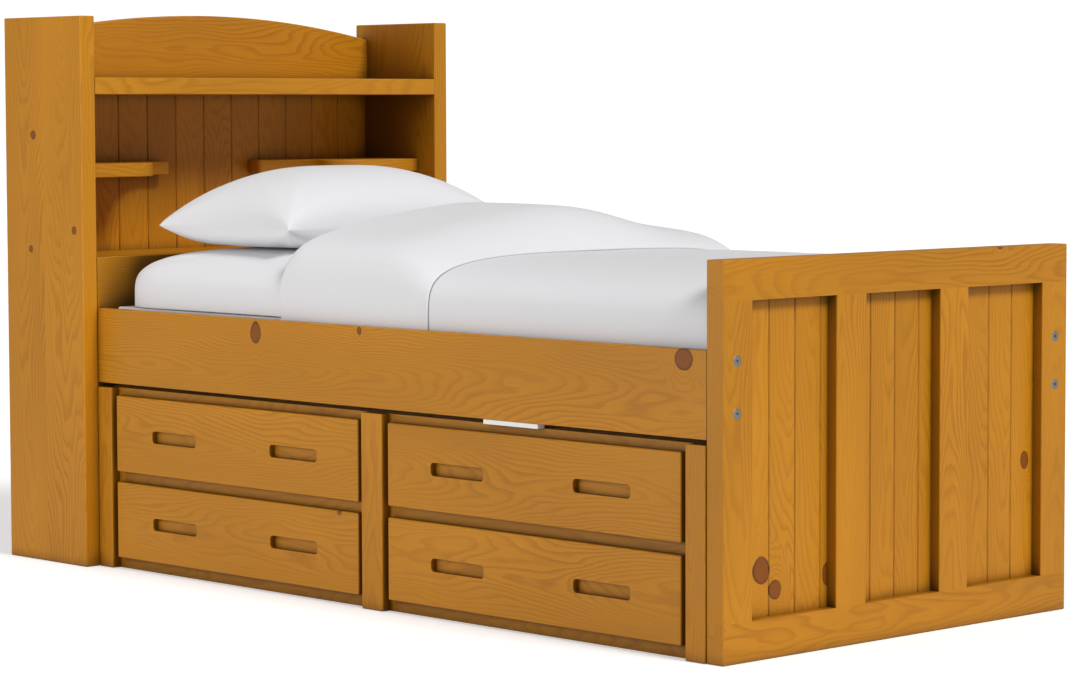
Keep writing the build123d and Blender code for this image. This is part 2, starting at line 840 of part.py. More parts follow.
def unit():
    middle_y = (unit_foot + unit_head) / 2
    unit_post("unit_post_foot", (unit_foot, unit_foot + post_width))
    unit_post("unit_post_middle", (middle_y - post_mid_width / 2, middle_y + post_mid_width / 2))
    unit_post("unit_post_head", (unit_head - post_width, unit_head))
    face_stiles()
    face_rails("face_bottom_rails", (0, bottom_rail_top))
    face_rails("face_middle_rails", (mid_rail_bottom, mid_rail_top))
    face_rails("face_top_rails", (top_rail_bottom, unit_height))
    unit_side_panels()
    unit_back_panel()
    unit_top_stretchers()
    case_slides()
    gap_packer()


# ---------------------------------------------------------------- drawers


def drawer_front(name, start, level):
    """An overlay front with two routed finger pulls."""
    y = (start - front_overlay, start + opening_width + front_overlay)
    z = (levels[level], levels[level] + front_height)
    with BuildPart() as front:
        add(board((post_face, box_front), y, z, sharp="+X", ease=front_ease))
        with BuildSketch(Plane(origin=(post_face, middle(y), middle(z)), x_dir=(0, 1, 0), z_dir=(1, 0, 0))):
            with Locations((-pull_offset, 0), (pull_offset, 0)):
                RectangleRounded(pull_length, pull_height, pull_corner)
        extrude(amount=pull_depth, mode=Mode.SUBTRACT)
    save(front, f"{name}_front")


def drawer_box(name, start, level):
    """Two sides, a sub-front and a back, grooved for the bottom."""
    y = (start + slide_width, start + slide_width + box_width)
    bottom = levels[level] + front_overlay + box_lift
    z = (bottom, bottom + box_height)
    groove_z = (bottom + box_groove, bottom + box_groove + box_bottom)
    within = (y[0] + box_side, y[1] - box_side)
    groove_x = (box_front + box_side - box_groove, box_back - box_side + box_groove)
    groove_y = (within[0] - box_groove, within[1] + box_groove)
    pieces = [
        ((box_front, box_back), (y[0], within[0]), z),
        ((box_front, box_back), (within[1], y[1]), z),
        ((box_front, box_front + box_side), within, z),
        ((box_back - box_side, box_back), within, z),
    ]
    boards = []
    for corners in pieces:
        with BuildPart() as plank:
            add(block(*corners))
            add(block(groove_x, groove_y, groove_z), mode=Mode.SUBTRACT)
        boards.append(plank.part)
    save_group(boards, f"{name}_box")
    with BuildPart() as base:
        add(block(groove_x, groove_y, groove_z))
    save(base, f"{name}_bottom")


def drawer_slides(name, start, level):
    """The members screwed to the drawer's sides, which run inside the fixed members."""
    x = (slide_front, box_back)
    half_height = slide_height / 2 - slide_wall - slide_play
    members = []
    for wall, inward in ((start, 1), (start + opening_width, -1)):
        back_face = wall + inward * slide_width
        open_face = wall + inward * (slide_wall + slide_play)
        members.append(slide_member(back_face, open_face, x, slide_middle(level), half_height))
    save_group(members, f"{name}_slides")


def drawers():
    for bay, start in bays.items():
        for level in levels:
            name = f"{bay}_{level}_drawer"
            drawer_front(name, start, level)
            drawer_box(name, start, level)
            drawer_slides(name, start, level)


# ---------------------------------------------------------------- bedding


def bedding_base():
    """The firm foundation board that lies on the slats."""
    half = half_inner - base_side_gap
    y = (foot_back + base_foot_gap, head_front - base_head_gap)
    with BuildPart() as base:
        add(block((-half, half), y, (base_bottom, base_top)))
        fillet(base.edges().filter_by(Axis.Z), base_corner)
        fillet(base.edges().group_by(Axis.Z)[-1], base_ease)
    save(base, "foundation_board")


def mattress():
    """The mattress, rounded at its corners and along its top and bottom edges."""
    y = (foot_back + mattress_foot_gap, head_front - mattress_head_gap)
    with BuildPart() as body:
        add(block((-half_mattress, half_mattress), y, (mattress_bottom, mattress_top)))
        fillet(body.edges().filter_by(Axis.Z), mattress_corner)
        fillet(body.edges().group_by(Axis.Z)[-1], mattress_roll)
        fillet(body.edges().group_by(Axis.Z)[0], mattress_low_roll)
    save(body, "mattress")


def duvet():
    """The duvet: a crowned layer over the mattress with a skirt between the mattress and each rail."""
    reach = half_inner - duvet_rail_gap
    hem = mattress_bottom + duvet_hem_gap
    edge = mattress_top + duvet_edge_lift
    y = (foot_back + mattress_foot_gap, head_front - pillow_from_head - pillow_width - duvet_from_pillow)
    with BuildPart() as cover:
        with BuildSketch(Plane.XZ.offset(-y[1])):
            with BuildLine():
                low = Line((-reach, hem), (reach, hem))
                right = Line(low @ 1, (reach, edge))
                left = Line(low @ 0, (-reach, edge))
                ThreePointArc(left @ 1, (0, mattress_top + duvet_crown), right @ 1)
            make_face()
        extrude(amount=y[1] - y[0])
        with BuildSketch(Plane.YZ.offset(-reach)):
            with BuildLine():
                foot_low = Line((y[0], mattress_bottom), (y[0], mattress_top + duvet_foot_crown))
                foot_top = Line(foot_low @ 1, (y[0] + duvet_foot_flat, mattress_top + duvet_foot_crown))
                slope = Line(foot_top @ 1, (y[0] + duvet_rise_end, mattress_top + duvet_crown))
                top = Line(slope @ 1, (y[1], mattress_top + duvet_crown))
                end = Line(top @ 1, (y[1], mattress_bottom))
                Line(end @ 1, foot_low @ 0)
            make_face()
        extrude(amount=2 * reach, mode=Mode.INTERSECT)
        bed_x = (-half_mattress - loose, half_mattress + loose)
        add(block(bed_x, (y[0] - 1, y[1] + 1), (mattress_bottom, mattress_top + loose)), mode=Mode.SUBTRACT)
    save(cover, "duvet")


def pillow():
    """The pillow that lies across the head of the mattress."""
    y_high = head_front - pillow_from_head
    x = (pillow_offset - pillow_length / 2, pillow_offset + pillow_length / 2)
    with BuildPart() as cushion:
        z = (mattress_top + loose, mattress_top + loose + pillow_height)
        add(block(x, (y_high - pillow_width, y_high), z))
        fillet(cushion.edges().filter_by(Axis.Z), pillow_corner)
        fillet(cushion.edges().group_by(Axis.Z)[-1], pillow_top_roll)
        fillet(cushion.edges().group_by(Axis.Z)[0], pillow_low_roll)
    save(cushion, "pillow")


def bedding():
    bedding_base()
    mattress()
    duvet()
    pillow()


footboard()
headboard()
rails()
unit()
drawers()
bedding()
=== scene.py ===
"""The looks of a pine storage bed with a bookcase headboard.

Lacquered pine, birch plywood drawers, plated steel fittings and white bedding.
"""

from math import cos, pi, radians, sin

import bpy
import numpy as np
from mathutils import Matrix, Vector


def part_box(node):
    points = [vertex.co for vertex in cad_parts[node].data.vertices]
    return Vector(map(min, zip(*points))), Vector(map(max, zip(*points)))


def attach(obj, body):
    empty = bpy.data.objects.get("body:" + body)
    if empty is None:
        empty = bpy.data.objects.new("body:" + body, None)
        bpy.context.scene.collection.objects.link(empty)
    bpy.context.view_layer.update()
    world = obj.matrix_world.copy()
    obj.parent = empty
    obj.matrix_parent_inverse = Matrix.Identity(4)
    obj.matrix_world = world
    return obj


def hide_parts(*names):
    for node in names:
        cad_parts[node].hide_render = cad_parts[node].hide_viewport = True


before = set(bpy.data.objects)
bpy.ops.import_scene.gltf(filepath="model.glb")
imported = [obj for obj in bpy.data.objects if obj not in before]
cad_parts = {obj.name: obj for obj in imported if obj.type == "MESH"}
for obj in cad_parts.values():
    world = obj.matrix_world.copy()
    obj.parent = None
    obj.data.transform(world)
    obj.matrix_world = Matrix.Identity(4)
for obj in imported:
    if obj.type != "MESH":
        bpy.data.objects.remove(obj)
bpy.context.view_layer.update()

bl_info = {
    "name": "Storage bed finishes and bedding",
    "version": (1, 0, 0),
    "blender": (4, 5, 0),
    "location": "View3D > Sidebar > Bed",
    "description": "Finishes a pine storage bed and makes up its bedding",
    "category": "Object",
}

MM = 0.001
WAIST = 20 * MM  # the mattress's sides are upright up to here
SHEET_PITCH = 7.54 * MM  # spacing of the threads as drawn in all but the ticking

# Sockets of a Mix node that mixes colours
MIX_FACTOR, MIX_A, MIX_B, MIX_RESULT = 0, 6, 7, 2


# ---------------------------------------------------------------- colours and nodes


def linear(hexadecimal):
    """An sRGB hex colour as linear red, green and blue."""
    values = [int(hexadecimal[i : i + 2], 16) / 255 for i in (1, 3, 5)]
    return [v / 12.92 if v <= 0.04045 else ((v + 0.055) / 1.055) ** 2.4 for v in values]


def add_node(tree, kind, inputs=None, **settings):
    """Add a node, set its properties, and link or set its inputs."""
    made = tree.nodes.new(kind)
    for name, value in settings.items():
        setattr(made, name, value)
    for key, value in (inputs or {}).items():
        if isinstance(value, bpy.types.NodeSocket):
            tree.links.new(value, made.inputs[key])
        else:
            made.inputs[key].default_value = value
    return made


def new_material(name):
    """An empty material with a surface shader: its tree and the shader."""
    material = bpy.data.materials.new(name)
    material.use_nodes = True
    tree = material.node_tree
    tree.nodes.clear()
    shader = add_node(tree, "ShaderNodeBsdfPrincipled")
    add_node(tree, "ShaderNodeOutputMaterial", {"Surface": shader.outputs["BSDF"]})
    return material, tree, shader


def paint(obj, material):
    """Give an object one material all over."""
    obj.data.materials.clear()
    obj.data.materials.append(material)
    for polygon in obj.data.polygons:
        polygon.material_index = 0


# ---------------------------------------------------------------- sizes and colours that a user would change


class BED_PG_pine(bpy.types.PropertyGroup):
    """Stained and lacquered pine."""

    early_wood: bpy.props.FloatVectorProperty(
        name="Early wood", description="Stained colour of the soft, pale part of each ring",
        subtype="COLOR", size=3, default=linear("#C18012"),
    )
    late_wood: bpy.props.FloatVectorProperty(
        name="Late wood", description="Stained colour of the hard, dark line of each ring",
        subtype="COLOR", size=3, default=linear("#985A04"),
    )
    knot: bpy.props.FloatVectorProperty(
        name="Knot", description="Colour of a knot's heart",
        subtype="COLOR", size=3, default=linear("#84480A"),
    )
    knot_rim: bpy.props.FloatVectorProperty(
        name="Knot rim", description="Colour of the bark round a knot",
        subtype="COLOR", size=3, default=linear("#5C2C04"),
    )
    joint_shade: bpy.props.FloatProperty(
        name="Joint shade", description="Colour of the V joints, as a share of the open colour",
        default=0.93, min=0, max=1,
    )
    # Painted shade deep inside the bookcase: how far it reaches and how dark it gets
    bookcase_painted_shade_reach: bpy.props.FloatProperty(
        name="Bookcase reach", description="How far inside the bookcase the darker finish reaches",
        subtype="DISTANCE", unit="LENGTH", default=300 * MM,
    )
    bookcase_painted_shade: bpy.props.FloatProperty(
        name="Bookcase shade", description="Colour deep inside the bookcase, as a share of the open colour",
        default=0.2, min=0, max=1,
    )
    # Painted shade on the sides of the footboard's recesses: how far it reaches and how dark it gets
    recess_painted_shade_reach: bpy.props.FloatProperty(
        name="Recess reach", description="How far the darker finish beside the footboard's boards reaches",
        subtype="DISTANCE", unit="LENGTH", default=90 * MM,
    )
    recess_painted_shade: bpy.props.FloatProperty(
        name="Recess shade", description="Colour of the recess sides, as a share of the open colour",
        default=0.15, min=0, max=1,
    )
    # Painted shade in inside corners: how far it reaches and how dark it gets
    corner_painted_shade_reach: bpy.props.FloatProperty(
        name="Corner reach", description="How far the stain gathered in inside corners spreads",
        subtype="DISTANCE", unit="LENGTH", default=45 * MM,
    )
    corner_painted_shade: bpy.props.FloatProperty(
        name="Corner shade", description="Colour deep in an inside corner, as a share of the open colour",
        default=0.35, min=0, max=1,
    )
    ring_width: bpy.props.FloatProperty(
        name="Ring width", description="Growth of the tree in a year",
        subtype="DISTANCE", unit="LENGTH", default=4.6 * MM,
    )
    pith_depth: bpy.props.FloatProperty(
        name="Pith depth", description="How far behind a board's face the middle of the tree was",
        subtype="DISTANCE", unit="LENGTH", default=70 * MM,
    )
    roughness: bpy.props.FloatProperty(
        name="Lacquer roughness", description="Satin lacquer, sprayed and rubbed down", default=0.42,
    )


class BED_PG_bedding(bpy.types.PropertyGroup):
    """White bedding."""

    cotton: bpy.props.FloatVectorProperty(
        name="Cotton", description="Bleached cotton",
        subtype="COLOR", size=3, default=linear("#E4E4E6"),
    )
    shoulder: bpy.props.FloatProperty(
        name="Shoulder", description="Squareness of the mattress across the bed", default=3.8,
    )
    layer: bpy.props.FloatProperty(
        name="Comforter loft", description="Thickness of the comforter at the middle of the bed",
        subtype="DISTANCE", unit="LENGTH", default=100 * MM,
    )
    edge_roll: bpy.props.FloatProperty(
        name="Edge roll", description="Length over which the comforter rises from its hem to its full loft",
        subtype="DISTANCE", unit="LENGTH", default=190 * MM,
    )
    tuck_height: bpy.props.FloatProperty(
        name="Tuck height", description="How far down the covers are tucked beside the foundation board",
        subtype="DISTANCE", unit="LENGTH", default=580 * MM,
    )
    hem_from_foot: bpy.props.FloatProperty(
        name="Comforter hem", description="Footboard to the lower hem of the comforter",
        subtype="DISTANCE", unit="LENGTH", default=817 * MM,
    )
    dent_depth: bpy.props.FloatProperty(
        name="Dent", description="Depth of the shallow dent in the comforter",
        subtype="DISTANCE", unit="LENGTH", default=15 * MM,
    )
    seam_height: bpy.props.FloatProperty(
        name="Pillow seam", description="Height of the pillow's seam above the mattress",
        subtype="DISTANCE", unit="LENGTH", default=45 * MM,
    )
    seam_draw: bpy.props.FloatProperty(
        name="Seam draw", description="How far the filling draws the seam in between the corners, as a share",
        default=0.07,
    )
    fold_height: bpy.props.FloatProperty(
        name="Fold height", description="Height of the folds at the pillow's corners",
        subtype="DISTANCE", unit="LENGTH", default=2.2 * MM,
    )


class BED_PG_stage(bpy.types.PropertyGroup):
    """Floor, lights and camera."""

    floor: bpy.props.FloatVectorProperty(
        name="Floor", description="Plain pale floor", subtype="COLOR", size=3, default=linear("#F4F4F4"),
    )
    sky: bpy.props.FloatProperty(
        name="Sky", description="Strength of the even light from all round", default=0.34,
    )
    key: bpy.props.FloatProperty(
        name="Key light", description="Strength of the large soft light from above the foot end", default=2.2,
    )
    side: bpy.props.FloatProperty(
        name="Side light", description="Power of the soft light beside the bed", unit="POWER", default=50.0,
    )
    floor_lift: bpy.props.FloatProperty(
        name="Floor lift", description="Light added to the floor where the camera sees it", default=0.38,
    )
    place: bpy.props.FloatVectorProperty(
        name="Camera place", description="Where the camera stands",
        subtype="TRANSLATION", unit="LENGTH", size=3, default=(-5.0670, -5.4317, 1.0497),
    )
    heading: bpy.props.FloatProperty(
        name="Camera heading", description="Turn of the camera from +Y towards +X",
        subtype="ANGLE", unit="ROTATION", default=radians(43.498),
    )
    dip: bpy.props.FloatProperty(
        name="Camera dip", description="How far the camera looks below the horizon",
        subtype="ANGLE", unit="ROTATION", default=radians(3.905),
    )
    roll: bpy.props.FloatProperty(
        name="Camera roll", description="Turn of the camera about its own axis",
        subtype="ANGLE", unit="ROTATION", default=radians(-0.173),
    )
    lens: bpy.props.FloatProperty(
        name="Focal length", description="Focal length of the camera in millimetres", default=111.58,
    )


# ---------------------------------------------------------------- pine

AXES = {"X": Vector((1, 0, 0)), "Y": Vector((0, 1, 0)), "Z": Vector((0, 0, 1))}
FOOT_BOARD = 73.5 * MM  # one board of the footboard's field, joint to joint
BACK_BOARD = 86 * MM  # one board of the headboard's back
SIDE_STAVE = 151 * MM  # one of the two staves glued up into a side of the headboard

# Every pine node: the way its grain runs, the way its face points, and the width of its boards or staves,
# which is 0 for a piece made of one
PINE_BOARDS = {
    "side_rail_left": ("Y", "-X", 0),
    "side_rail_right": ("Y", "X", 0),
    "footboard_top_rail": ("X", "-Y", 0),
    "footboard_bottom_rail": ("X", "-Y", 0),
    "footboard_stile_left": ("Z", "-Y", 0),
    "footboard_stile_right": ("Z", "-Y", 0),
    "footboard_mid_stile_left": ("Z", "-Y", 0),
    "footboard_mid_stile_right": ("Z", "-Y", 0),
    "footboard_boards": ("Z", "-Y", FOOT_BOARD),
    "footboard_inner_battens": ("Z", "Y", 0),
    "headboard_side_left": ("Z", "-X", SIDE_STAVE),
    "headboard_side_right": ("Z", "X", SIDE_STAVE),
    "headboard_crest": ("X", "-Y", 0),
    "headboard_top_shelf": ("X", "-Y", 0),
    "headboard_bottom_shelf": ("X", "Z", 0),
    "headboard_ogee_shelf_left": ("X", "Z", 0),
    "headboard_ogee_shelf_right": ("X", "Z", 0),
    "headboard_front_panel": ("X", "-Y", 0),
    "headboard_back_boards": ("Z", "-Y", BACK_BOARD),
    "headboard_back_rail": ("X", "Y", 0),
    "unit_post_foot": ("Z", "-X", 0),
    "unit_post_middle": ("Z", "-X", 0),
    "unit_post_head": ("Z", "-X", 0),
    "face_stiles": ("Z", "-X", 0),
    "face_bottom_rails": ("Y", "-X", 0),
    "face_middle_rails": ("Y", "-X", 0),
    "face_top_rails": ("Y", "-X", 0),
    "foot_bottom_drawer_front": ("Y", "-X", 0),
    "foot_top_drawer_front": ("Y", "-X", 0),
    "head_bottom_drawer_front": ("Y", "-X", 0),
    "head_top_drawer_front": ("Y", "-X", 0),
}

# Knots, in metres: the two face coordinates of the middle, in the order X, Y, Z without the face's own axis,
# the radius, and how many times taller than wide the knot is
PINE_KNOTS = {
    "side_rail_left": [
        (0.258, 0.566, 0.016, 1.35), (-1.035, 0.575, 0.021, 0.95), (-0.089, 0.586, 0.007, 1.2),
    ],
    "footboard_boards": [
        (-0.389, 0.167, 0.024, 0.95), (-0.352, 0.127, 0.016, 1.05),
        (-0.201, 0.143, 0.012, 1.6), (0.412, 0.320, 0.012, 1.35),
    ],
    "headboard_side_left": [
        (1.026, 0.992, 0.009, 1.1), (0.869, 0.774, 0.008, 1.1), (1.040, 0.727, 0.007, 1.1),
    ],
    "footboard_top_rail": [(0.30, 0.768, 0.009, 0.7)],
    "head_bottom_drawer_front": [(-0.02, 0.196, 0.006, 0.8)],
}


def board_frame(node):
    """The rotation from the bed to a board lying with its grain along X and its face up, and its middle."""
    grain, face, _ = PINE_BOARDS[node]
    low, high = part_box(node)
    middle = (low + high) / 2
    if "boards" in node:
        # A field of boards is laid out from the middle of the bed
        middle.x = 0
    along = AXES[grain]
    up = AXES[face[-1]] * (-1 if face[0] == "-" else 1)
    return Matrix((along, up.cross(along), up)), middle


def knot_on_board(node, knot):
    """A knot's middle on its board, its radius, and how many times longer it is along and across the grain."""
    turn, middle = board_frame(node)
    out = "XYZ".index(PINE_BOARDS[node][1][-1])
    first, second, radius, tall = knot
    place = [first, second]
    place.insert(out, middle[out])
    local = turn @ (Vector(place) - middle)
    upright = abs((turn @ AXES["Z"]).x) > 0.5
    along, across = (tall, 1.0) if upright else (1.0, tall)
    return local.x, local.y, radius, along, across


def figure(tree, place, patch, detail, distortion=0.0):
    """An uneven pattern, from 0 to 1, whose patches are so many millimetres long along each axis."""
    changes = [1 / (length * MM) for length in patch]
    stretched = add_node(tree, "ShaderNodeVectorMath", {0: place, 1: changes}, operation="MULTIPLY").outputs[0]
    noise = add_node(tree, "ShaderNodeTexNoise", {
        "Vector": stretched, "Scale": 1.0, "Detail": detail, "Distortion": distortion,
    })
    return noise.outputs["Fac"]


def place_in_tree(tree, node, number):
    """Where a point lies on its board and in the tree.

    Gives the place on the board, the place in the tree, the place across the stave as a share of its width, and
    the stave's luck, a number from 0 to 1. A piece made of one board has neither of the last two.
    """
    stave = PINE_BOARDS[node][2]
    turn, middle = board_frame(node)
    bed = add_node(tree, "ShaderNodeTexCoord").outputs["Object"]
    board = add_node(tree, "ShaderNodeMapping", {
        "Vector": bed, "Location": -(turn @ middle), "Rotation": turn.to_euler("XYZ"),
    }, vector_type="POINT").outputs["Vector"]
    apart = add_node(tree, "ShaderNodeSeparateXYZ", {"Vector": board})
    across = apart.outputs["Y"]
    seed = 7.31 * number
    longest_log = 9.0
    centred = luck = None
    shift = (seed * 0.37) % longest_log
    if stave:
        count = add_node(tree, "ShaderNodeMath", {0: across, 1: stave}, operation="DIVIDE").outputs[0]
        index = add_node(tree, "ShaderNodeMath", {0: count}, operation="FLOOR").outputs[0]
        within = add_node(tree, "ShaderNodeMath", {0: count, 1: index}, operation="SUBTRACT").outputs[0]
        centred = add_node(tree, "ShaderNodeMath", {0: within, 1: 0.5}, operation="SUBTRACT").outputs[0]
        across = add_node(tree, "ShaderNodeMath", {0: centred, 1: stave}, operation="MULTIPLY").outputs[0]
        draw = add_node(tree, "ShaderNodeMath", {0: index, 1: seed}, operation="ADD").outputs[0]
        luck = add_node(tree, "ShaderNodeTexWhiteNoise", {"W": draw}, noise_dimensions="1D").outputs["Value"]
        shift = add_node(tree, "ShaderNodeMath", {0: luck, 1: longest_log}, operation="MULTIPLY").outputs[0]
    along = add_node(tree, "ShaderNodeMath", {0: apart.outputs["X"], 1: shift}, operation="ADD").outputs[0]
    solid = add_node(tree, "ShaderNodeCombineXYZ", {"X": along, "Y": across, "Z": apart.outputs["Z"]})
    return board, solid.outputs[0], centred, luck


def distance_from_pith(tree, board, solid, look, number):
    """Distance from the pith, which leans so that the rings meet the board's face as arches."""
    lean = 0.035 if number % 2 else -0.045
    off_pith = (((number * 37) % 11) / 11 - 0.5) * 50 * MM
    on_board = add_node(tree, "ShaderNodeSeparateXYZ", {"Vector": board})
    in_tree = add_node(tree, "ShaderNodeSeparateXYZ", {"Vector": solid})
    leaning = add_node(tree, "ShaderNodeMath", {
        0: on_board.outputs["X"], 1: lean, 2: look.pith_depth,
    }, operation="MULTIPLY_ADD").outputs[0]
    depth = add_node(tree, "ShaderNodeMath", {0: on_board.outputs["Z"], 1: leaning}, operation="ADD").outputs[0]
    side = add_node(tree, "ShaderNodeMath", {0: in_tree.outputs["Y"], 1: off_pith}, operation="ADD").outputs[0]
    flat = add_node(tree, "ShaderNodeCombineXYZ", {"X": side, "Y": depth}).outputs[0]
    return add_node(tree, "ShaderNodeVectorMath", {0: flat}, operation="LENGTH").outputs["Value"]


def rings_round_knots(tree, node, board, fine, rings):
    """Push the rings aside round each knot, and mark the knots' hearts from 0 to 1."""
    heart = None
    for knot in PINE_KNOTS.get(node, []):
        x, y, size, along, across = knot_on_board(node, knot)
        away = add_node(tree, "ShaderNodeVectorMath", {0: board, 1: (x, y, 0)}, operation="SUBTRACT").outputs[0]
        shape = (1 / (size * along), 1 / (size * across), 0)
        scaled = add_node(tree, "ShaderNodeVectorMath", {0: away, 1: shape}, operation="MULTIPLY").outputs[0]
        radii = add_node(tree, "ShaderNodeVectorMath", {0: scaled}, operation="LENGTH").outputs["Value"]
        ragged = add_node(tree, "ShaderNodeMath", {0: fine, 1: 0.5, 2: radii}, operation="MULTIPLY_ADD").outputs[0]
        push = add_node(tree, "ShaderNodeMapRange", {
            "Value": ragged, "From Min": 0.8, "From Max": 4.0, "To Min": size * 1.1, "To Max": 0.0,
        }, interpolation_type="SMOOTHERSTEP").outputs[0]
        rings = add_node(tree, "ShaderNodeMath", {0: rings, 1: push}, operation="SUBTRACT").outputs[0]
        core = add_node(tree, "ShaderNodeMapRange", {
            "Value": ragged, "From Min": 1.0, "From Max": 1.45, "To Min": 1.0, "To Max": 0.0,
        }).outputs[0]
        if heart is None:
            heart = core
        else:
            heart = add_node(tree, "ShaderNodeMath", {0: heart, 1: core}, operation="MAXIMUM").outputs[0]
    return rings, heart


def late_wood_lines(tree, rings, wander, look):
    """Each ring's line, from 0 to 1: pale early wood darkens slowly to late wood, then starts again."""
    years = add_node(tree, "ShaderNodeMath", {0: rings, 1: look.ring_width}, operation="DIVIDE").outputs[0]
    season = add_node(tree, "ShaderNodeMath", {0: years}, operation="FRACT").outputs[0]
    ramp = add_node(tree, "ShaderNodeValToRGB", {"Fac": season})
    for end in ramp.color_ramp.elements:
        end.color = (0, 0, 0, 1)
    for time, darkness in ((0.45, 0.16), (0.80, 1.0), (0.90, 0.75)):
        ramp.color_ramp.elements.new(time).color = (darkness, darkness, darkness, 1)
    strength = add_node(tree, "ShaderNodeMapRange", {
        "Value": wander, "From Min": 0.3, "From Max": 0.7, "To Min": 0.12, "To Max": 0.55,
    }).outputs[0]
    return add_node(tree, "ShaderNodeMath", {
        0: ramp.outputs["Color"], 1: strength,
    }, operation="MULTIPLY").outputs[0]


def knot_colour(tree, colour, heart, fine, look):
    """Lay the knots over the wood: warm brown hearts, streaked, with a dark rim of bark."""
    inside = add_node(tree, "ShaderNodeMapRange", {
        "Value": heart, "From Max": 0.35,
    }, interpolation_type="SMOOTHSTEP").outputs[0]
    streaks = add_node(tree, "ShaderNodeMapRange", {
        "Value": fine, "To Min": 0.35, "To Max": -0.35,
    }).outputs[0]
    uneven = add_node(tree, "ShaderNodeMath", {0: heart, 1: streaks}, operation="ADD").outputs[0]
    tint = add_node(tree, "ShaderNodeValToRGB", {"Fac": uneven})
    for stop, position, shade in zip(tint.color_ramp.elements, (0.25, 0.75), (look.knot_rim, look.knot)):
        stop.position = position
        stop.color = (*shade, 1)
    mixed = add_node(tree, "ShaderNodeMix", {
        MIX_FACTOR: inside, MIX_A: colour, MIX_B: tint.outputs["Color"],
    }, data_type="RGBA")
    return mixed.outputs[MIX_RESULT]


def paint_corner_shade(tree, node, colour, look):
    """Darken the colour with painted shade where ambient occlusion finds inside corners, recesses and the
    bookcase.
    """
    reach, deepest = look.corner_painted_shade_reach, look.corner_painted_shade
    if node in ("headboard_side_right", "headboard_front_panel"):
        reach, deepest = look.bookcase_painted_shade_reach, look.bookcase_painted_shade
    elif node.startswith("footboard") and "stile" in node:
        reach, deepest = look.recess_painted_shade_reach, look.recess_painted_shade
    # Painted shade: the base colour darkens as ambient occlusion finds nearby surfaces
    corner = add_node(tree, "ShaderNodeAmbientOcclusion", {"Distance": reach}, samples=8)
    shade = add_node(tree, "ShaderNodeMapRange", {
        "Value": corner.outputs["AO"], "From Min": 0.25, "From Max": 0.85, "To Min": deepest,
    }, interpolation_type="SMOOTHSTEP").outputs[0]
    return add_node(tree, "ShaderNodeVectorMath", {0: colour, "Scale": shade}, operation="SCALE").outputs[0]


def shade_joints(tree, colour, centred, stave, look):
    """Darken the V joints between boards, where stain gathers."""
    to_joint = add_node(tree, "ShaderNodeMath", {0: centred}, operation="ABSOLUTE").outputs[0]
    shade = add_node(tree, "ShaderNodeMapRange", {
        "Value": to_joint, "From Min": 0.5 - 3.0 * MM / stave, "From Max": 0.5 - 0.8 * MM / stave,
        "To Min": 1.0, "To Max": look.joint_shade,
    }, interpolation_type="SMOOTHSTEP").outputs[0]
    return add_node(tree, "ShaderNodeVectorMath", {0: colour, "Scale": shade}, operation="SCALE").outputs[0]


def pine_material(node, look, number):
    """Knotty pine, plain-sawn, stained honey and lacquered satin.

    The stain lies dark in the late wood, so the eye sees arches of thin brown lines on a warm honey ground. The
    lacquer gives it a low, broad shine that fine fibres break up.
    """
    material, tree, shader = new_material("lacquered_knotty_pine_" + node)
    board, solid, centred, luck = place_in_tree(tree, node, number)
    wander = figure(tree, solid, (666.7, 142.86, 142.86), 2.0)
    fine = figure(tree, solid, (111.11, 22.222, 22.222), 2.0)
    rings = distance_from_pith(tree, board, solid, look, number)
    for unevenness, reach in ((wander, 85 * MM), (fine, 4.5 * MM)):
        rings = add_node(tree, "ShaderNodeMath", {
            0: unevenness, 1: reach, 2: rings,
        }, operation="MULTIPLY_ADD").outputs[0]
    rings, heart = rings_round_knots(tree, node, board, fine, rings)
    line = late_wood_lines(tree, rings, wander, look)
    colour = add_node(tree, "ShaderNodeMix", {
        MIX_FACTOR: line, MIX_A: (*look.early_wood, 1), MIX_B: (*look.late_wood, 1),
    }, data_type="RGBA").outputs[MIX_RESULT]

    # Fibres are drawn more than a millimetre wide, coarser than real ones so that they show
    fibre = figure(tree, solid, (71.43, 1.4286, 1.4286), 2.0)
    tone = figure(tree, solid, (833.3, 250, 250), 1.0)
    fibre_shade = add_node(tree, "ShaderNodeMapRange", {
        "Value": fibre, "From Min": 0.3, "From Max": 0.7, "To Min": 0.93, "To Max": 1.05,
    }).outputs[0]
    slow_shade = add_node(tree, "ShaderNodeMapRange", {
        "Value": tone, "From Min": 0.3, "From Max": 0.7, "To Min": 0.90, "To Max": 1.07,
    }).outputs[0]
    shade = add_node(tree, "ShaderNodeMath", {0: fibre_shade, 1: slow_shade}, operation="MULTIPLY").outputs[0]
    if luck is not None:
        stave_shade = add_node(tree, "ShaderNodeMapRange", {"Value": luck, "To Min": 0.97, "To Max": 1.09})
        shade = add_node(tree, "ShaderNodeMath", {
            0: shade, 1: stave_shade.outputs[0],
        }, operation="MULTIPLY").outputs[0]
    colour = add_node(tree, "ShaderNodeVectorMath", {0: colour, "Scale": shade}, operation="SCALE").outputs[0]
    if heart is not None:
        colour = knot_colour(tree, colour, heart, fine, look)
    if "boards" in node:
        colour = shade_joints(tree, colour, centred, PINE_BOARDS[node][2], look)
    # Painted shade in inside corners, the footboard's recesses and the bookcase
    colour = paint_corner_shade(tree, node, colour, look)
    tree.links.new(colour, shader.inputs["Base Color"])

    # The lacquer follows the late-wood lines and the fibres
    relief = add_node(tree, "ShaderNodeMath", {0: fibre, 1: 0.5, 2: line}, operation="MULTIPLY_ADD").outputs[0]
    bump = add_node(tree, "ShaderNodeBump", {"Height": relief, "Strength": 0.25, "Distance": 0.2 * MM})
    tree.links.new(bump.outputs["Normal"], shader.inputs["Normal"])
    sheen = add_node(tree, "ShaderNodeMapRange", {
        "Value": fibre, "To Min": look.roughness - 0.05, "To Max": look.roughness + 0.09,
    }).outputs[0]
    tree.links.new(sheen, shader.inputs["Roughness"])
    shader.inputs["IOR"].default_value = 1.5
    shader.inputs["Specular IOR Level"].default_value = 0.3
    return material


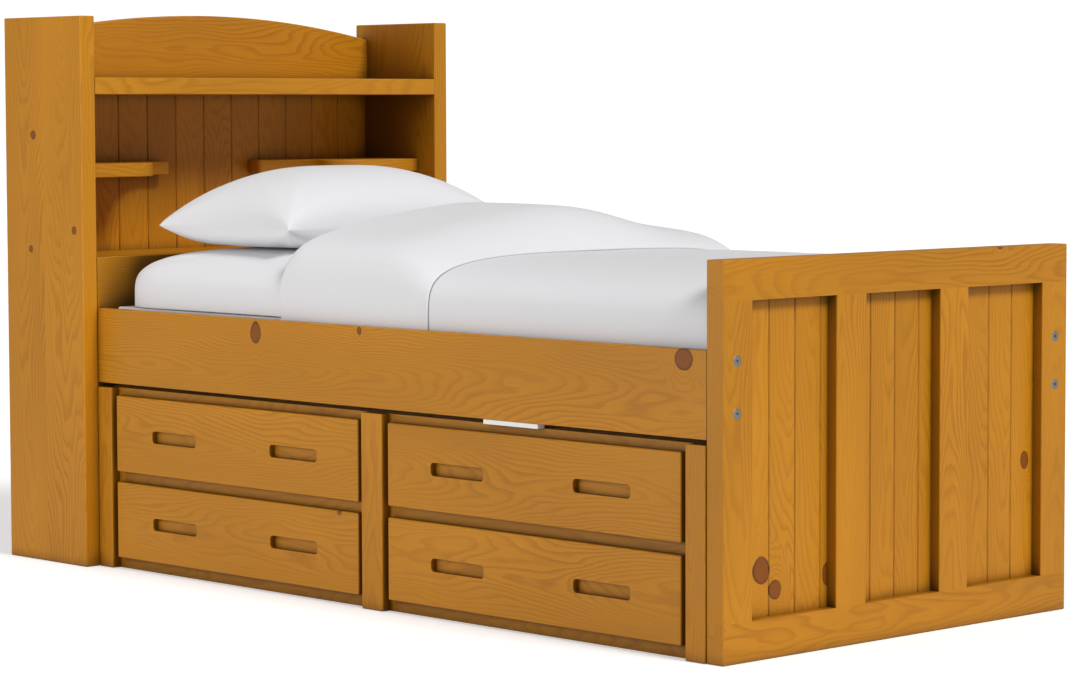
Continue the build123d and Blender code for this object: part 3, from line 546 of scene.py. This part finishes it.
class BED_OT_finish_pine(bpy.types.Operator):
    """Stain and lacquer every pine piece, each sawn from its own place in the tree"""

    bl_idname = "bed.finish_pine"
    bl_label = "Finish the pine"

    def execute(self, context):
        look = context.scene.bed_pine
        for number, node in enumerate(PINE_BOARDS):
            paint(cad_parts[node], pine_material(node, look, number))
        return {"FINISHED"}


# ---------------------------------------------------------------- plain wood, plywood, metal and nylon


def raw_wood_material(name, pale, dark, grain, band):
    """Wood with no finish: matt and pale, with straight, faint streaks along the grain and broader bands."""
    material, tree, shader = new_material(name)
    place = add_node(tree, "ShaderNodeTexCoord").outputs["Object"]
    streak_patch = [3.846] * 3
    streak_patch["XYZ".index(grain)] = 200
    streak = figure(tree, place, streak_patch, 3.0)
    band_patch = [band] * 3
    band_patch["XYZ".index(grain)] = 666.7
    bands = figure(tree, place, band_patch, 3.0, 0.8)
    both = add_node(tree, "ShaderNodeMath", {0: streak, 1: bands}, operation="ADD").outputs[0]
    share = add_node(tree, "ShaderNodeMath", {0: both, 1: 0.5}, operation="MULTIPLY").outputs[0]
    tint = add_node(tree, "ShaderNodeValToRGB", {"Fac": share})
    for stop, position, shade in zip(tint.color_ramp.elements, (0.35, 0.62), (dark, pale)):
        stop.position = position
        stop.color = (*linear(shade), 1)
    tree.links.new(tint.outputs["Color"], shader.inputs["Base Color"])
    bump = add_node(tree, "ShaderNodeBump", {"Height": streak, "Strength": 0.2, "Distance": 0.2 * MM})
    tree.links.new(bump.outputs["Normal"], shader.inputs["Normal"])
    shader.inputs["Roughness"].default_value = 0.62
    return material


def steel_material(name, colour, roughness, patch):
    """Plated steel: a grey metal shine, drawn out along the fine lines left by rolling or turning."""
    material, tree, shader = new_material(name)
    place = add_node(tree, "ShaderNodeTexCoord").outputs["Object"]
    lines = figure(tree, place, patch, 3.0)
    rough = add_node(tree, "ShaderNodeMapRange", {
        "Value": lines, "To Min": roughness - 0.1, "To Max": roughness + 0.12,
    }).outputs[0]
    tree.links.new(rough, shader.inputs["Roughness"])
    bump = add_node(tree, "ShaderNodeBump", {"Height": lines, "Strength": 0.15, "Distance": 0.05 * MM})
    tree.links.new(bump.outputs["Normal"], shader.inputs["Normal"])
    tint = add_node(tree, "ShaderNodeValToRGB", {"Fac": lines})
    for stop, tone in zip(tint.color_ramp.elements, (0.82, 1.12)):
        stop.color = (*[min(1.0, value * tone) for value in linear(colour)], 1)
    tree.links.new(tint.outputs["Color"], shader.inputs["Base Color"])
    shader.inputs["Metallic"].default_value = 1.0
    return material


def nylon_material():
    """White nylon, injection moulded: an even off-white whose soft gloss a fine grain breaks up."""
    material, tree, shader = new_material("moulded_white_nylon")
    place = add_node(tree, "ShaderNodeTexCoord").outputs["Object"]
    grainy = figure(tree, place, (1.111, 1.111, 1.111), 2.0)
    rough = add_node(tree, "ShaderNodeMapRange", {"Value": grainy, "To Min": 0.4, "To Max": 0.55}).outputs[0]
    tree.links.new(rough, shader.inputs["Roughness"])
    bump = add_node(tree, "ShaderNodeBump", {"Height": grainy, "Strength": 0.1, "Distance": 0.05 * MM})
    tree.links.new(bump.outputs["Normal"], shader.inputs["Normal"])
    shader.inputs["Base Color"].default_value = (*linear("#F4F2EC"), 1)
    return material


class BED_OT_finish_plain_wood(bpy.types.Operator):
    """Leave the slats, cleats and dowels as sawn pine, and the drawer boxes and case as sanded birch plywood"""

    bl_idname = "bed.finish_plain_wood"
    bl_label = "Finish the plain wood"

    def execute(self, context):
        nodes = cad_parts
        sawn_across, sawn_along = [
            raw_wood_material("sawn_pine_grain_" + grain, "#DDBE8C", "#C29A60", grain, 45.45) for grain in "XY"
        ]
        birch_along, birch_upright = [
            raw_wood_material("sanded_birch_plywood_grain_" + grain, "#DCC59C", "#C9AB7B", grain, 111.11)
            for grain in "YZ"
        ]
        paint(nodes["slats"], sawn_across)
        paint(nodes["headboard_dowels"], sawn_across)
        paint(nodes["slat_cleats"], sawn_along)
        for name, obj in nodes.items():
            if name.endswith(("drawer_box", "drawer_bottom")):
                paint(obj, birch_along)
        paint(nodes["unit_top_stretchers"], birch_along)
        paint(nodes["unit_back_panel"], birch_along)
        paint(nodes["unit_side_panels"], birch_upright)
        return {"FINISHED"}


class BED_OT_finish_fittings(bpy.types.Operator):
    """Finish the slides, brackets, screws, nuts, bolts and the packer"""

    bl_idname = "bed.finish_fittings"
    bl_label = "Finish the fittings"

    def execute(self, context):
        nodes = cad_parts
        zinc = steel_material("zinc_plated_rolled_steel", "#C3C5C6", 0.34, (25, 166.7, 1.111))
        nickel = steel_material("nickel_plated_turned_steel", "#9A9C9A", 0.36, (1.111, 16.67, 1.111))
        for name, obj in nodes.items():
            if name in ("rail_nuts", "rail_brackets", "bracket_screws") or name.endswith("_slides"):
                paint(obj, zinc)
        for name in ("foot_bolts", "head_bolts"):
            paint(nodes[name], nickel)
        paint(nodes["gap_packer"], nylon_material())
        return {"FINISHED"}


# ---------------------------------------------------------------- cloth


def cotton_material(name, colour, pitch, crumple, seam=None):
    """Plain-woven white cotton, matt with a soft sheen: faint crumples, and threads drawn coarse to show."""
    material, tree, shader = new_material(name)
    place = add_node(tree, "ShaderNodeTexCoord").outputs["Object"]
    # The bands of a wave texture lie a twentieth of a full turn apart at a scale of 1
    warp, weft = [
        add_node(tree, "ShaderNodeTexWave", {
            "Vector": place, "Scale": 2 * pi / (20 * pitch),
            "Distortion": 0.6, "Detail": 1.0, "Detail Scale": 3.0,
        }, wave_type="BANDS", bands_direction=direction).outputs["Fac"]
        for direction in "XY"
    ]
    weave = add_node(tree, "ShaderNodeMath", {0: warp, 1: weft}, operation="MULTIPLY").outputs[0]
    folds = add_node(tree, "ShaderNodeTexNoise", {
        "Vector": place, "Scale": 7.0, "Detail": 3.0, "Roughness": 0.45, "Distortion": 0.3,
    }).outputs["Fac"]
    crumpled = add_node(tree, "ShaderNodeBump", {"Height": folds, "Strength": crumple, "Distance": 12 * MM})
    woven = add_node(tree, "ShaderNodeBump", {
        "Height": weave, "Strength": 0.08, "Distance": 0.1 * MM, "Normal": crumpled.outputs["Normal"],
    })
    tree.links.new(woven.outputs["Normal"], shader.inputs["Normal"])
    tone = add_node(tree, "ShaderNodeMapRange", {"Value": weave, "To Min": 0.985, "To Max": 1.0}).outputs[0]
    if seam is not None:
        # Painted shade: the cloth darkens to grey just before the next layer's hem, where that hem casts its
        # shadow
        along = add_node(tree, "ShaderNodeSeparateXYZ", {"Vector": place}).outputs["Y"]
        shade = add_node(tree, "ShaderNodeMapRange", {
            "Value": along, "From Min": seam - 5 * MM, "From Max": seam - 1 * MM,
            "To Min": 1.0, "To Max": 0.3,
        }, interpolation_type="SMOOTHSTEP").outputs[0]
        tone = add_node(tree, "ShaderNodeMath", {0: tone, 1: shade}, operation="MULTIPLY").outputs[0]
    tinted = add_node(tree, "ShaderNodeVectorMath", {0: colour, "Scale": tone}, operation="SCALE").outputs[0]
    tree.links.new(tinted, shader.inputs["Base Color"])
    shader.inputs["Roughness"].default_value = 0.85
    shader.inputs["Specular IOR Level"].default_value = 0.25
    shader.inputs["Sheen Weight"].default_value = 0.15
    shader.inputs["Sheen Roughness"].default_value = 0.5
    return material


def start_piece(name):
    """Name the new primitive."""
    obj = bpy.context.object
    obj.name = name
    obj.data.name = name
    return obj


def select_only(obj):
    """Make one object the selected and active one."""
    bpy.ops.object.select_all(action="DESELECT")
    obj.select_set(True)
    bpy.context.view_layer.objects.active = obj


def coordinates(obj):
    """The vertices of a mesh as rows."""
    flat = np.empty(len(obj.data.vertices) * 3)
    obj.data.vertices.foreach_get("co", flat)
    return flat.reshape(-1, 3)


def set_coordinates(obj, rows):
    """Move the vertices of a mesh to new places."""
    obj.data.vertices.foreach_set("co", np.asarray(rows, float).ravel())
    obj.data.update()


def apply_modifiers(obj):
    """Apply all of an object's modifiers."""
    select_only(obj)
    for modifier in list(obj.modifiers):
        bpy.ops.object.modifier_apply(modifier=modifier.name)


def outward(obj):
    """Merge doubles and point every face outwards."""
    select_only(obj)
    bpy.ops.object.mode_set(mode="EDIT")
    bpy.ops.mesh.select_all(action="SELECT")
    bpy.ops.mesh.remove_doubles(threshold=0.1 * MM)
    bpy.ops.mesh.normals_make_consistent(inside=False)
    bpy.ops.object.mode_set(mode="OBJECT")


def round_off(obj):
    """Round a soft piece by subdivision."""
    modifier = obj.modifiers.new("round", "SUBSURF")
    modifier.levels = 1
    modifier.render_levels = 1
    apply_modifiers(obj)


def finish_piece(obj, material, node):
    """Finish a piece of bedding and lay it on the bed, in the place of its plain solid if it has one."""
    select_only(obj)
    bpy.ops.object.shade_smooth()
    paint(obj, material)
    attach(obj, "root")
    if node:
        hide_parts(node)


def padded_block(name, low, high, waist, squareness, cuts):
    """A stuffed block: a cube swollen into a rounded form, squarish in plan, with sides upright to its waist.

    Each vertex of the cube goes out or in along its line from the middle until it meets the rounded form.
    """
    crowding = 0.4  # how far the cuts crowd towards the edges
    plan_power = 14
    under_powers = (30, 40)  # the underside is nearly flat and its edge nearly sharp
    bpy.ops.object.select_all(action="DESELECT")
    bpy.ops.mesh.primitive_cube_add(size=2)
    obj = start_piece(name)
    bpy.ops.object.mode_set(mode="EDIT")
    bpy.ops.mesh.select_all(action="SELECT")
    bpy.ops.mesh.subdivide(number_cuts=cuts)
    bpy.ops.object.mode_set(mode="OBJECT")
    low, high = np.array(low), np.array(high)
    half = (high - low) / 2
    rows = coordinates(obj)
    rows = np.sin(rows * pi / 2) * crowding + rows * (1 - crowding)
    under = rows[:, 2] < 0
    plan_fall, rise_fall = [np.where(under, power, squareness) for power in under_powers]
    inside, outside = np.full(len(rows), 0.3), np.full(len(rows), 1.6)
    for _ in range(40):
        scale = (inside + outside) / 2
        across, along, up = np.abs(rows * scale[:, None]).T
        # The rounding of the ends is as deep as that of the sides, however long the block is
        along = np.clip(1 - (1 - along) * half[1] / half[0], 0, None)
        plan = (across**plan_power + along**plan_power) ** (1 / plan_power)
        past = plan**plan_fall + up**rise_fall > 1
        outside = np.where(past, scale, outside)
        inside = np.where(past, inside, scale)
    rows = rows * inside[:, None]
    placed = (low + high) / 2 + rows * half
    placed[:, 2] = waist + rows[:, 2] * np.where(under, waist - low[2], high[2] - waist)
    set_coordinates(obj, placed)
    return obj


def resample(curve, count):
    """Points evenly spaced along a polyline."""
    steps = np.linalg.norm(np.diff(curve, axis=0), axis=1)
    travelled = np.concatenate([[0], np.cumsum(steps)])
    even = np.linspace(0, travelled[-1], count)
    return np.stack([np.interp(even, travelled, curve[:, i]) for i in range(curve.shape[1])], 1)


def shoulder_height(x, half_width, squareness):
    """Height of a soft block's section at x, as a share of its full height."""
    share = np.clip(np.abs(x) / half_width, 0, 1)
    return np.clip(1 - share**squareness, 0, 1) ** (1 / squareness)


def tucked(x, height, tuck_height):
    """A cover's section across the bed, whose two edges are tucked straight down."""
    ends = [np.array([[end, tuck_height]]) for end in (x[0], x[-1])]
    return np.concatenate([ends[0], np.column_stack([x, height]), ends[1]])


def cover(name, stations, section, thickness, columns):
    """A cover over the mattress: one section across the bed at each station along it, given a thickness."""
    bpy.ops.object.select_all(action="DESELECT")
    bpy.ops.mesh.primitive_grid_add(x_subdivisions=columns - 1, y_subdivisions=len(stations) - 1, size=1)
    obj = start_piece(name)
    rows = coordinates(obj)
    order = np.lexsort((rows[:, 0], rows[:, 1]))
    placed = []
    for y in stations:
        cut = resample(section(y), columns)
        placed.append(np.column_stack([cut[:, 0], np.full(columns, y), cut[:, 1]]))
    rows[order] = np.concatenate(placed)
    set_coordinates(obj, rows)
    modifier = obj.modifiers.new("thickness", "SOLIDIFY")
    modifier.thickness = thickness
    modifier.offset = -1
    apply_modifiers(obj)
    outward(obj)
    return obj


def wavy(rows, amount, seed):
    """Soft, uneven rises and falls in cloth, the same every time."""
    waves = np.zeros(len(rows))
    draw = np.random.default_rng(seed)
    for _ in range(9):
        way = draw.normal(size=2)
        way /= np.linalg.norm(way)
        travelled = rows[:, 0] * way[0] + rows[:, 1] * way[1]
        waves += np.sin(travelled * draw.uniform(9, 26) + draw.uniform(0, 6.3))
    return waves * amount / 3


class BED_OT_make_foundation_board(bpy.types.Operator):
    """Make the cloth-covered foundation board under the mattress"""

    bl_idname = "bed.make_foundation_board"
    bl_label = "Foundation board"

    def execute(self, context):
        look = context.scene.bed_bedding
        low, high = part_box("foundation_board")
        room = 6 * MM  # beside the board, for the covers tucked in past it
        low.x, high.x = low.x + room, high.x - room
        bpy.ops.object.select_all(action="DESELECT")
        bpy.ops.mesh.primitive_cube_add(size=1)
        obj = start_piece("covered_foundation_board")
        set_coordinates(obj, (np.array(low) + np.array(high)) / 2 + coordinates(obj) * np.array(high - low))
        bpy.ops.object.mode_set(mode="EDIT")
        bpy.ops.mesh.select_all(action="SELECT")
        bpy.ops.mesh.bevel(offset=6 * MM, segments=3, affect="EDGES")
        # The panel on top, with a flat band round it, lies a little below the roll of its edge
        bpy.ops.mesh.select_mode(type="FACE")
        bpy.ops.mesh.select_all(action="DESELECT")
        bpy.ops.object.mode_set(mode="OBJECT")
        for face in obj.data.polygons:
            face.select = face.normal.z > 0.99
        rows = coordinates(obj)
        rows[rows[:, 2] > high.z - 0.1 * MM, 2] -= 1.2 * MM
        set_coordinates(obj, rows)
        bpy.ops.object.mode_set(mode="EDIT")
        bpy.ops.mesh.inset(thickness=4 * MM, use_even_offset=False)
        bpy.ops.mesh.select_mode(type="VERT")
        bpy.ops.object.mode_set(mode="OBJECT")
        cloth = cotton_material("white_cotton_ticking", look.cotton, 10.05 * MM, 0.05)
        finish_piece(obj, cloth, "foundation_board")
        return {"FINISHED"}


class BED_OT_make_mattress(bpy.types.Operator):
    """Make the mattress in its fitted sheet"""

    bl_idname = "bed.make_mattress"
    bl_label = "Mattress"

    def execute(self, context):
        look = context.scene.bed_bedding
        low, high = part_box("mattress")
        swelling = 4 * MM  # each side, against the rails
        low.x, high.x = low.x - swelling, high.x + swelling
        obj = padded_block("mattress_in_fitted_sheet", low, high, low.z + WAIST, look.shoulder, 46)
        rows = coordinates(obj)
        # Slight pulls in the sheet fan out from the two head corners
        for corner_x in (low.x, high.x):
            run = np.hypot(rows[:, 0] - corner_x, rows[:, 1] - high.y)
            turn = np.arctan2(rows[:, 1] - high.y, rows[:, 0] - corner_x)
            fade = np.exp(-((run - 0.16) ** 2) / 0.012)
            rows[:, 2] += 1.6 * MM * np.sin(turn * 22) * fade
        rows[:, 2] = np.minimum(rows[:, 2], high.z)
        set_coordinates(obj, rows)
        round_off(obj)
        cloth = cotton_material("white_cotton_fitted_sheet", look.cotton, SHEET_PITCH, 0.06)
        finish_piece(obj, cloth, "mattress")
        return {"FINISHED"}


class BED_OT_make_bedspread(bpy.types.Operator):
    """Make the flat bedspread tucked in round the foot of the mattress"""

    bl_idname = "bed.make_bedspread"
    bl_label = "Bedspread"

    def execute(self, context):
        look = context.scene.bed_bedding
        low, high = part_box("duvet")
        under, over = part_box("mattress")
        top = over.z + 4 * MM
        waist = under.z + WAIST
        half = high.x - 4 * MM
        hem = low.y + look.hem_from_foot  # the comforter's, which covers the spread from here
        head = hem + 30 * MM
        foot_roll = 55 * MM

        def section(y):
            x = half * np.cos(np.linspace(pi, 0, 300))
            drop = 1 - np.sqrt(max(0.0, 1 - max(0.0, (low.y + foot_roll - y) / foot_roll) ** 2))
            height = waist + (top - waist - drop * foot_roll) * shoulder_height(x, half, look.shoulder)
            return tucked(x, height, look.tuck_height)

        stations = [low.y + foot_roll * (1 - cos(a)) for a in np.linspace(0, pi / 2, 9)][:-1]
        stations += list(np.linspace(low.y + foot_roll, head, 46))
        obj = cover("tucked_bedspread", stations, section, 5 * MM, 90)
        rows = coordinates(obj)
        rows[:, 2] += wavy(rows, 0.7 * MM, 3)
        set_coordinates(obj, rows)
        round_off(obj)
        # Painted shade on the bedspread just before the comforter's hem
        cloth = cotton_material("white_cotton_bedspread", look.cotton, SHEET_PITCH, 0.05, seam=hem)
        finish_piece(obj, cloth, None)
        return {"FINISHED"}


class BED_OT_make_comforter(bpy.types.Operator):
    """Make the thick comforter that reaches from the pillow to the middle of the bed"""

    bl_idname = "bed.make_comforter"
    bl_label = "Comforter"

    def execute(self, context):
        look = context.scene.bed_bedding
        low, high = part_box("duvet")
        under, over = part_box("mattress")
        waist = under.z + WAIST
        lying = over.z + 5 * MM
        crown = over.z + look.layer
        half = high.x - 1.5 * MM
        hem = low.y + look.hem_from_foot
        full = hem + look.edge_roll  # from here the comforter has its full loft
        head_roll = 60 * MM
        turn_down = high.y - head_roll
        taper = 3 * MM  # narrower each side at the head

        def loft(y):
            """Share of the full loft: it rises from the hem and rolls down again at the head."""
            rise = 1 - (1 - min(1.0, (y - hem) / look.edge_roll)) ** 2.6
            back = max(0.0, (y - turn_down) / head_roll)
            return rise * (1 - 0.75 * (1 - np.sqrt(max(0.0, 1 - back**2))))

        def section(y):
            past = min(1.0, max(0.0, (y - full) / (high.y - full)))
            x = (half - taper * past**2) * np.cos(np.linspace(pi, 0, 400))
            spread = waist + (lying - waist) * shoulder_height(x, half, look.shoulder)
            droop = 77 * MM * (np.abs(x) / 0.48) ** 1.6
            edge = (1 - (np.abs(x) / half) ** 22).clip(0) ** (1 / 3)
            crowned = waist + (crown - droop - waist) * edge
            return tucked(x, spread + (crowned - spread) * loft(y), look.tuck_height)

        stations = [hem, hem + 2 * MM, hem + 5 * MM]
        stations += [hem + look.edge_roll * share for share in np.linspace(0.06, 1, 17)][:-1]
        stations += list(np.linspace(full, turn_down, 24))[:-1]
        stations += [turn_down + head_roll * sin(a) for a in np.linspace(0, pi / 2, 9)]
        obj = cover("comforter", stations, section, 7 * MM, 110)
        rows = coordinates(obj)
        # A shallow dent on the far side, where the filling has shifted
        raised = np.clip((rows[:, 2] - over.z) / look.layer * 3, 0, 1)
        dent = np.exp(-(((rows[:, 0] - 0.27) / 0.13) ** 2) - ((rows[:, 1] + 0.14) / 0.11) ** 2)
        rows[:, 2] += (wavy(rows, 1.2 * MM, 5) - look.dent_depth * dent) * raised
        set_coordinates(obj, rows)
        round_off(obj)
        cloth = cotton_material("white_cotton_comforter", look.cotton, SHEET_PITCH, 0.07)
        finish_piece(obj, cloth, "duvet")
        return {"FINISHED"}


class BED_OT_make_pillow(bpy.types.Operator):
    """Sew and fill the pillow: two panels joined at a seam that is drawn in between its four corners"""

    bl_idname = "bed.make_pillow"
    bl_label = "Pillow"

    def execute(self, context):
        look = context.scene.bed_bedding
        low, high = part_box("pillow")
        width, depth, _ = high - low
        middle = (low + high) / 2
        bpy.ops.object.select_all(action="DESELECT")
        bpy.ops.mesh.primitive_grid_add(x_subdivisions=83, y_subdivisions=59, size=2)
        obj = start_piece("pillow_in_case")
        rows = coordinates(obj)
        # The panels are cut finer towards the seam
        crowding = 0.55
        rows[:, :2] = np.sin(rows[:, :2] * pi / 2) * crowding + rows[:, :2] * (1 - crowding)
        set_coordinates(obj, rows)
        modifier = obj.modifiers.new("panels", "SOLIDIFY")
        modifier.thickness = 0.1
        modifier.offset = 0
        apply_modifiers(obj)
        outward(obj)

        # Each panel runs from -1 to 1 along u and v, and lies above or below the seam
        rows = coordinates(obj)
        u, v, side = rows[:, 0].copy(), rows[:, 1].copy(), np.sign(rows[:, 2])
        end_draw = look.seam_draw * depth / width * 2
        rows[:, 0] = middle.x + u * width / 2 * (1 - look.seam_draw * (1 - v**2))
        rows[:, 1] = middle.y + v * depth / 2 * (1 - end_draw * (1 - u**2))
        puff = np.clip((1 - np.abs(u) ** 2.7) * (1 - np.abs(v) ** 2.3), 0, 1)
        seam = low.z + look.seam_height
        cloth = 0.6 * MM
        # The filling rises in a full curve above the seam, and settles flat on the mattress below it
        above = seam + (high.z - seam) * puff**0.46 + cloth
        below = seam - (seam - low.z) * np.sin(np.minimum(1, 1.35 * puff**0.5) * pi / 2) - cloth
        rows[:, 2] = np.where(side > 0, above, below)
        rows[:, 2] += side * self.corner_folds(u, v, width, depth, puff, look.fold_height)
        # One longer fold and soft dents on top
        ridge = np.exp(-(((u + 0.80) - (v + 1) * 0.16) ** 2) / 0.004) * np.exp(-((v + 0.62) ** 2) / 0.11)
        rows[:, 2] += np.where(side > 0, look.fold_height * 1.6 * ridge, 0)
        rows[:, 2] += np.where(side > 0, wavy(rows, 1.2 * MM, 11) * puff, 0)
        rows[:, 2] = np.clip(rows[:, 2], low.z, high.z)
        set_coordinates(obj, rows)
        round_off(obj)
        case = cotton_material("white_cotton_pillowcase", look.cotton, SHEET_PITCH, 0.06)
        finish_piece(obj, case, "pillow")
        return {"FINISHED"}

    def corner_folds(self, u, v, width, depth, puff, height):
        """Folds that fan in from each corner, where the two panels pull on the seam."""
        folds = np.zeros_like(u)
        for corner_u in (-1, 1):
            for corner_v in (-1, 1):
                away = np.hypot((u - corner_u) * width / 2, (v - corner_v) * depth / 2)
                turn = np.arctan2((v - corner_v) * depth, (u - corner_u) * width)
                fade = np.exp(-((away - 0.085) ** 2) / 0.0035) * puff**0.5
                folds += height * np.sin(turn * 11 + corner_u) * fade
        return folds


# ---------------------------------------------------------------- stage


class BED_OT_set_stage(bpy.types.Operator):
    """Lay the floor, hang the lights and set the camera"""

    bl_idname = "bed.set_stage"
    bl_label = "Stage"

    def execute(self, context):
        look = context.scene.bed_stage
        self.floor(look)
        self.sky(look)
        key = self.light("key", "SUN", look.key)
        key.data.angle = radians(20)
        self.aim(key, Vector((-0.04, 0.74, -0.67)))
        side = self.light("side", "AREA", look.side)
        side.data.size = 1.8
        side.location = (-4.2, 0.7, 1.3)
        self.aim(side, Vector((0, 0, 0.5)) - side.location)
        self.camera(look)
        context.scene.view_settings.view_transform = "Standard"
        return {"FINISHED"}

    def floor(self, look):
        """A floor in matt pale paint, lifted a little in brightness where the camera sees it."""
        bpy.ops.object.select_all(action="DESELECT")
        bpy.ops.mesh.primitive_plane_add(size=60, location=(0, 0, -0.5 * MM))
        floor = start_piece("pale_floor")
        material, tree, shader = new_material("matt_pale_floor_paint")
        place = add_node(tree, "ShaderNodeTexCoord").outputs["Object"]
        mottle = figure(tree, place, (1429, 1429, 1429), 2.0)
        tone = add_node(tree, "ShaderNodeMapRange", {"Value": mottle, "To Min": 0.99}).outputs[0]
        tinted = add_node(tree, "ShaderNodeVectorMath", {0: look.floor, "Scale": tone}, operation="SCALE")
        tree.links.new(tinted.outputs[0], shader.inputs["Base Color"])
        shader.inputs["Roughness"].default_value = 0.9
        seen = add_node(tree, "ShaderNodeLightPath").outputs["Is Camera Ray"]
        lift = add_node(tree, "ShaderNodeMath", {0: seen, 1: look.floor_lift}, operation="MULTIPLY")
        tree.links.new(lift.outputs[0], shader.inputs["Emission Strength"])
        shader.inputs["Emission Color"].default_value = (1, 1, 1, 1)
        paint(floor, material)

    def sky(self, look):
        """Even light from all round, with a white ground behind the bed."""
        world = bpy.data.worlds.new("even_white_studio")
        bpy.context.scene.world = world
        world.use_nodes = True
        tree = world.node_tree
        tree.nodes.clear()
        seen = add_node(tree, "ShaderNodeLightPath").outputs["Is Camera Ray"]
        strength = add_node(tree, "ShaderNodeMapRange", {
            "Value": seen, "To Min": look.sky, "To Max": 1.05,
        }).outputs[0]
        sky = add_node(tree, "ShaderNodeBackground", {"Color": (1, 1, 1, 1), "Strength": strength}).outputs[0]
        add_node(tree, "ShaderNodeOutputWorld", {"Surface": sky})

    def light(self, name, kind, strength):
        """Hang one light."""
        data = bpy.data.lights.new(name, kind)
        data.energy = strength
        obj = bpy.data.objects.new(name, data)
        bpy.context.scene.collection.objects.link(obj)
        return obj

    def aim(self, obj, way):
        """Point a light along a direction."""
        obj.rotation_mode = "QUATERNION"
        obj.rotation_quaternion = way.to_track_quat("-Z", "Y")

    def camera(self, look):
        """Set the camera from its heading, dip and roll."""
        data = bpy.data.cameras.new("camera")
        data.lens = look.lens
        data.sensor_width = 36
        camera = bpy.data.objects.new("camera", data)
        bpy.context.scene.collection.objects.link(camera)
        flat = Vector((sin(look.heading), cos(look.heading), 0))
        forward = flat * cos(look.dip) - AXES["Z"] * sin(look.dip)
        level = Vector((cos(look.heading), -sin(look.heading), 0))
        upright = level.cross(forward)
        right = level * cos(look.roll) + upright * sin(look.roll)
        up = upright * cos(look.roll) - level * sin(look.roll)
        turn = Matrix((right, up, -forward)).transposed()
        camera.matrix_world = Matrix.Translation(look.place) @ turn.to_4x4()
        bpy.context.scene.camera = camera


# ---------------------------------------------------------------- panel and registration

OPERATORS = (
    BED_OT_finish_pine,
    BED_OT_finish_plain_wood,
    BED_OT_finish_fittings,
    BED_OT_make_foundation_board,
    BED_OT_make_mattress,
    BED_OT_make_bedspread,
    BED_OT_make_comforter,
    BED_OT_make_pillow,
    BED_OT_set_stage,
)
GROUPS = {"bed_pine": BED_PG_pine, "bed_bedding": BED_PG_bedding, "bed_stage": BED_PG_stage}


class BED_PT_sidebar(bpy.types.Panel):
    """The bed's sizes, colours and steps."""

    bl_idname = "BED_PT_sidebar"
    bl_label = "Storage bed"
    bl_space_type = "VIEW_3D"
    bl_region_type = "UI"
    bl_category = "Bed"

    def draw(self, context):
        for name in GROUPS:
            group = getattr(context.scene, name)
            box = self.layout.box()
            for key in group.bl_rna.properties.keys():
                if key not in ("rna_type", "name"):
                    box.prop(group, key)
        for operator in OPERATORS:
            self.layout.operator(operator.bl_idname)


def register():
    """Register the groups, the operators and the panel."""
    for group in GROUPS.values():
        bpy.utils.register_class(group)
    for name, group in GROUPS.items():
        setattr(bpy.types.Scene, name, bpy.props.PointerProperty(type=group))
    for cls in (*OPERATORS, BED_PT_sidebar):
        bpy.utils.register_class(cls)


def unregister():
    """Undo register."""
    for cls in (BED_PT_sidebar, *reversed(OPERATORS)):
        bpy.utils.unregister_class(cls)
    for name, group in GROUPS.items():
        delattr(bpy.types.Scene, name)
        bpy.utils.unregister_class(group)


def main():
    """Finish the frame, make the bedding and set the stage."""
    register()
    bpy.ops.bed.finish_pine()
    bpy.ops.bed.finish_plain_wood()
    bpy.ops.bed.finish_fittings()
    bpy.ops.bed.make_foundation_board()
    bpy.ops.bed.make_mattress()
    bpy.ops.bed.make_bedspread()
    bpy.ops.bed.make_comforter()
    bpy.ops.bed.make_pillow()
    bpy.ops.bed.set_stage()


if __name__ == "__main__":
    main()
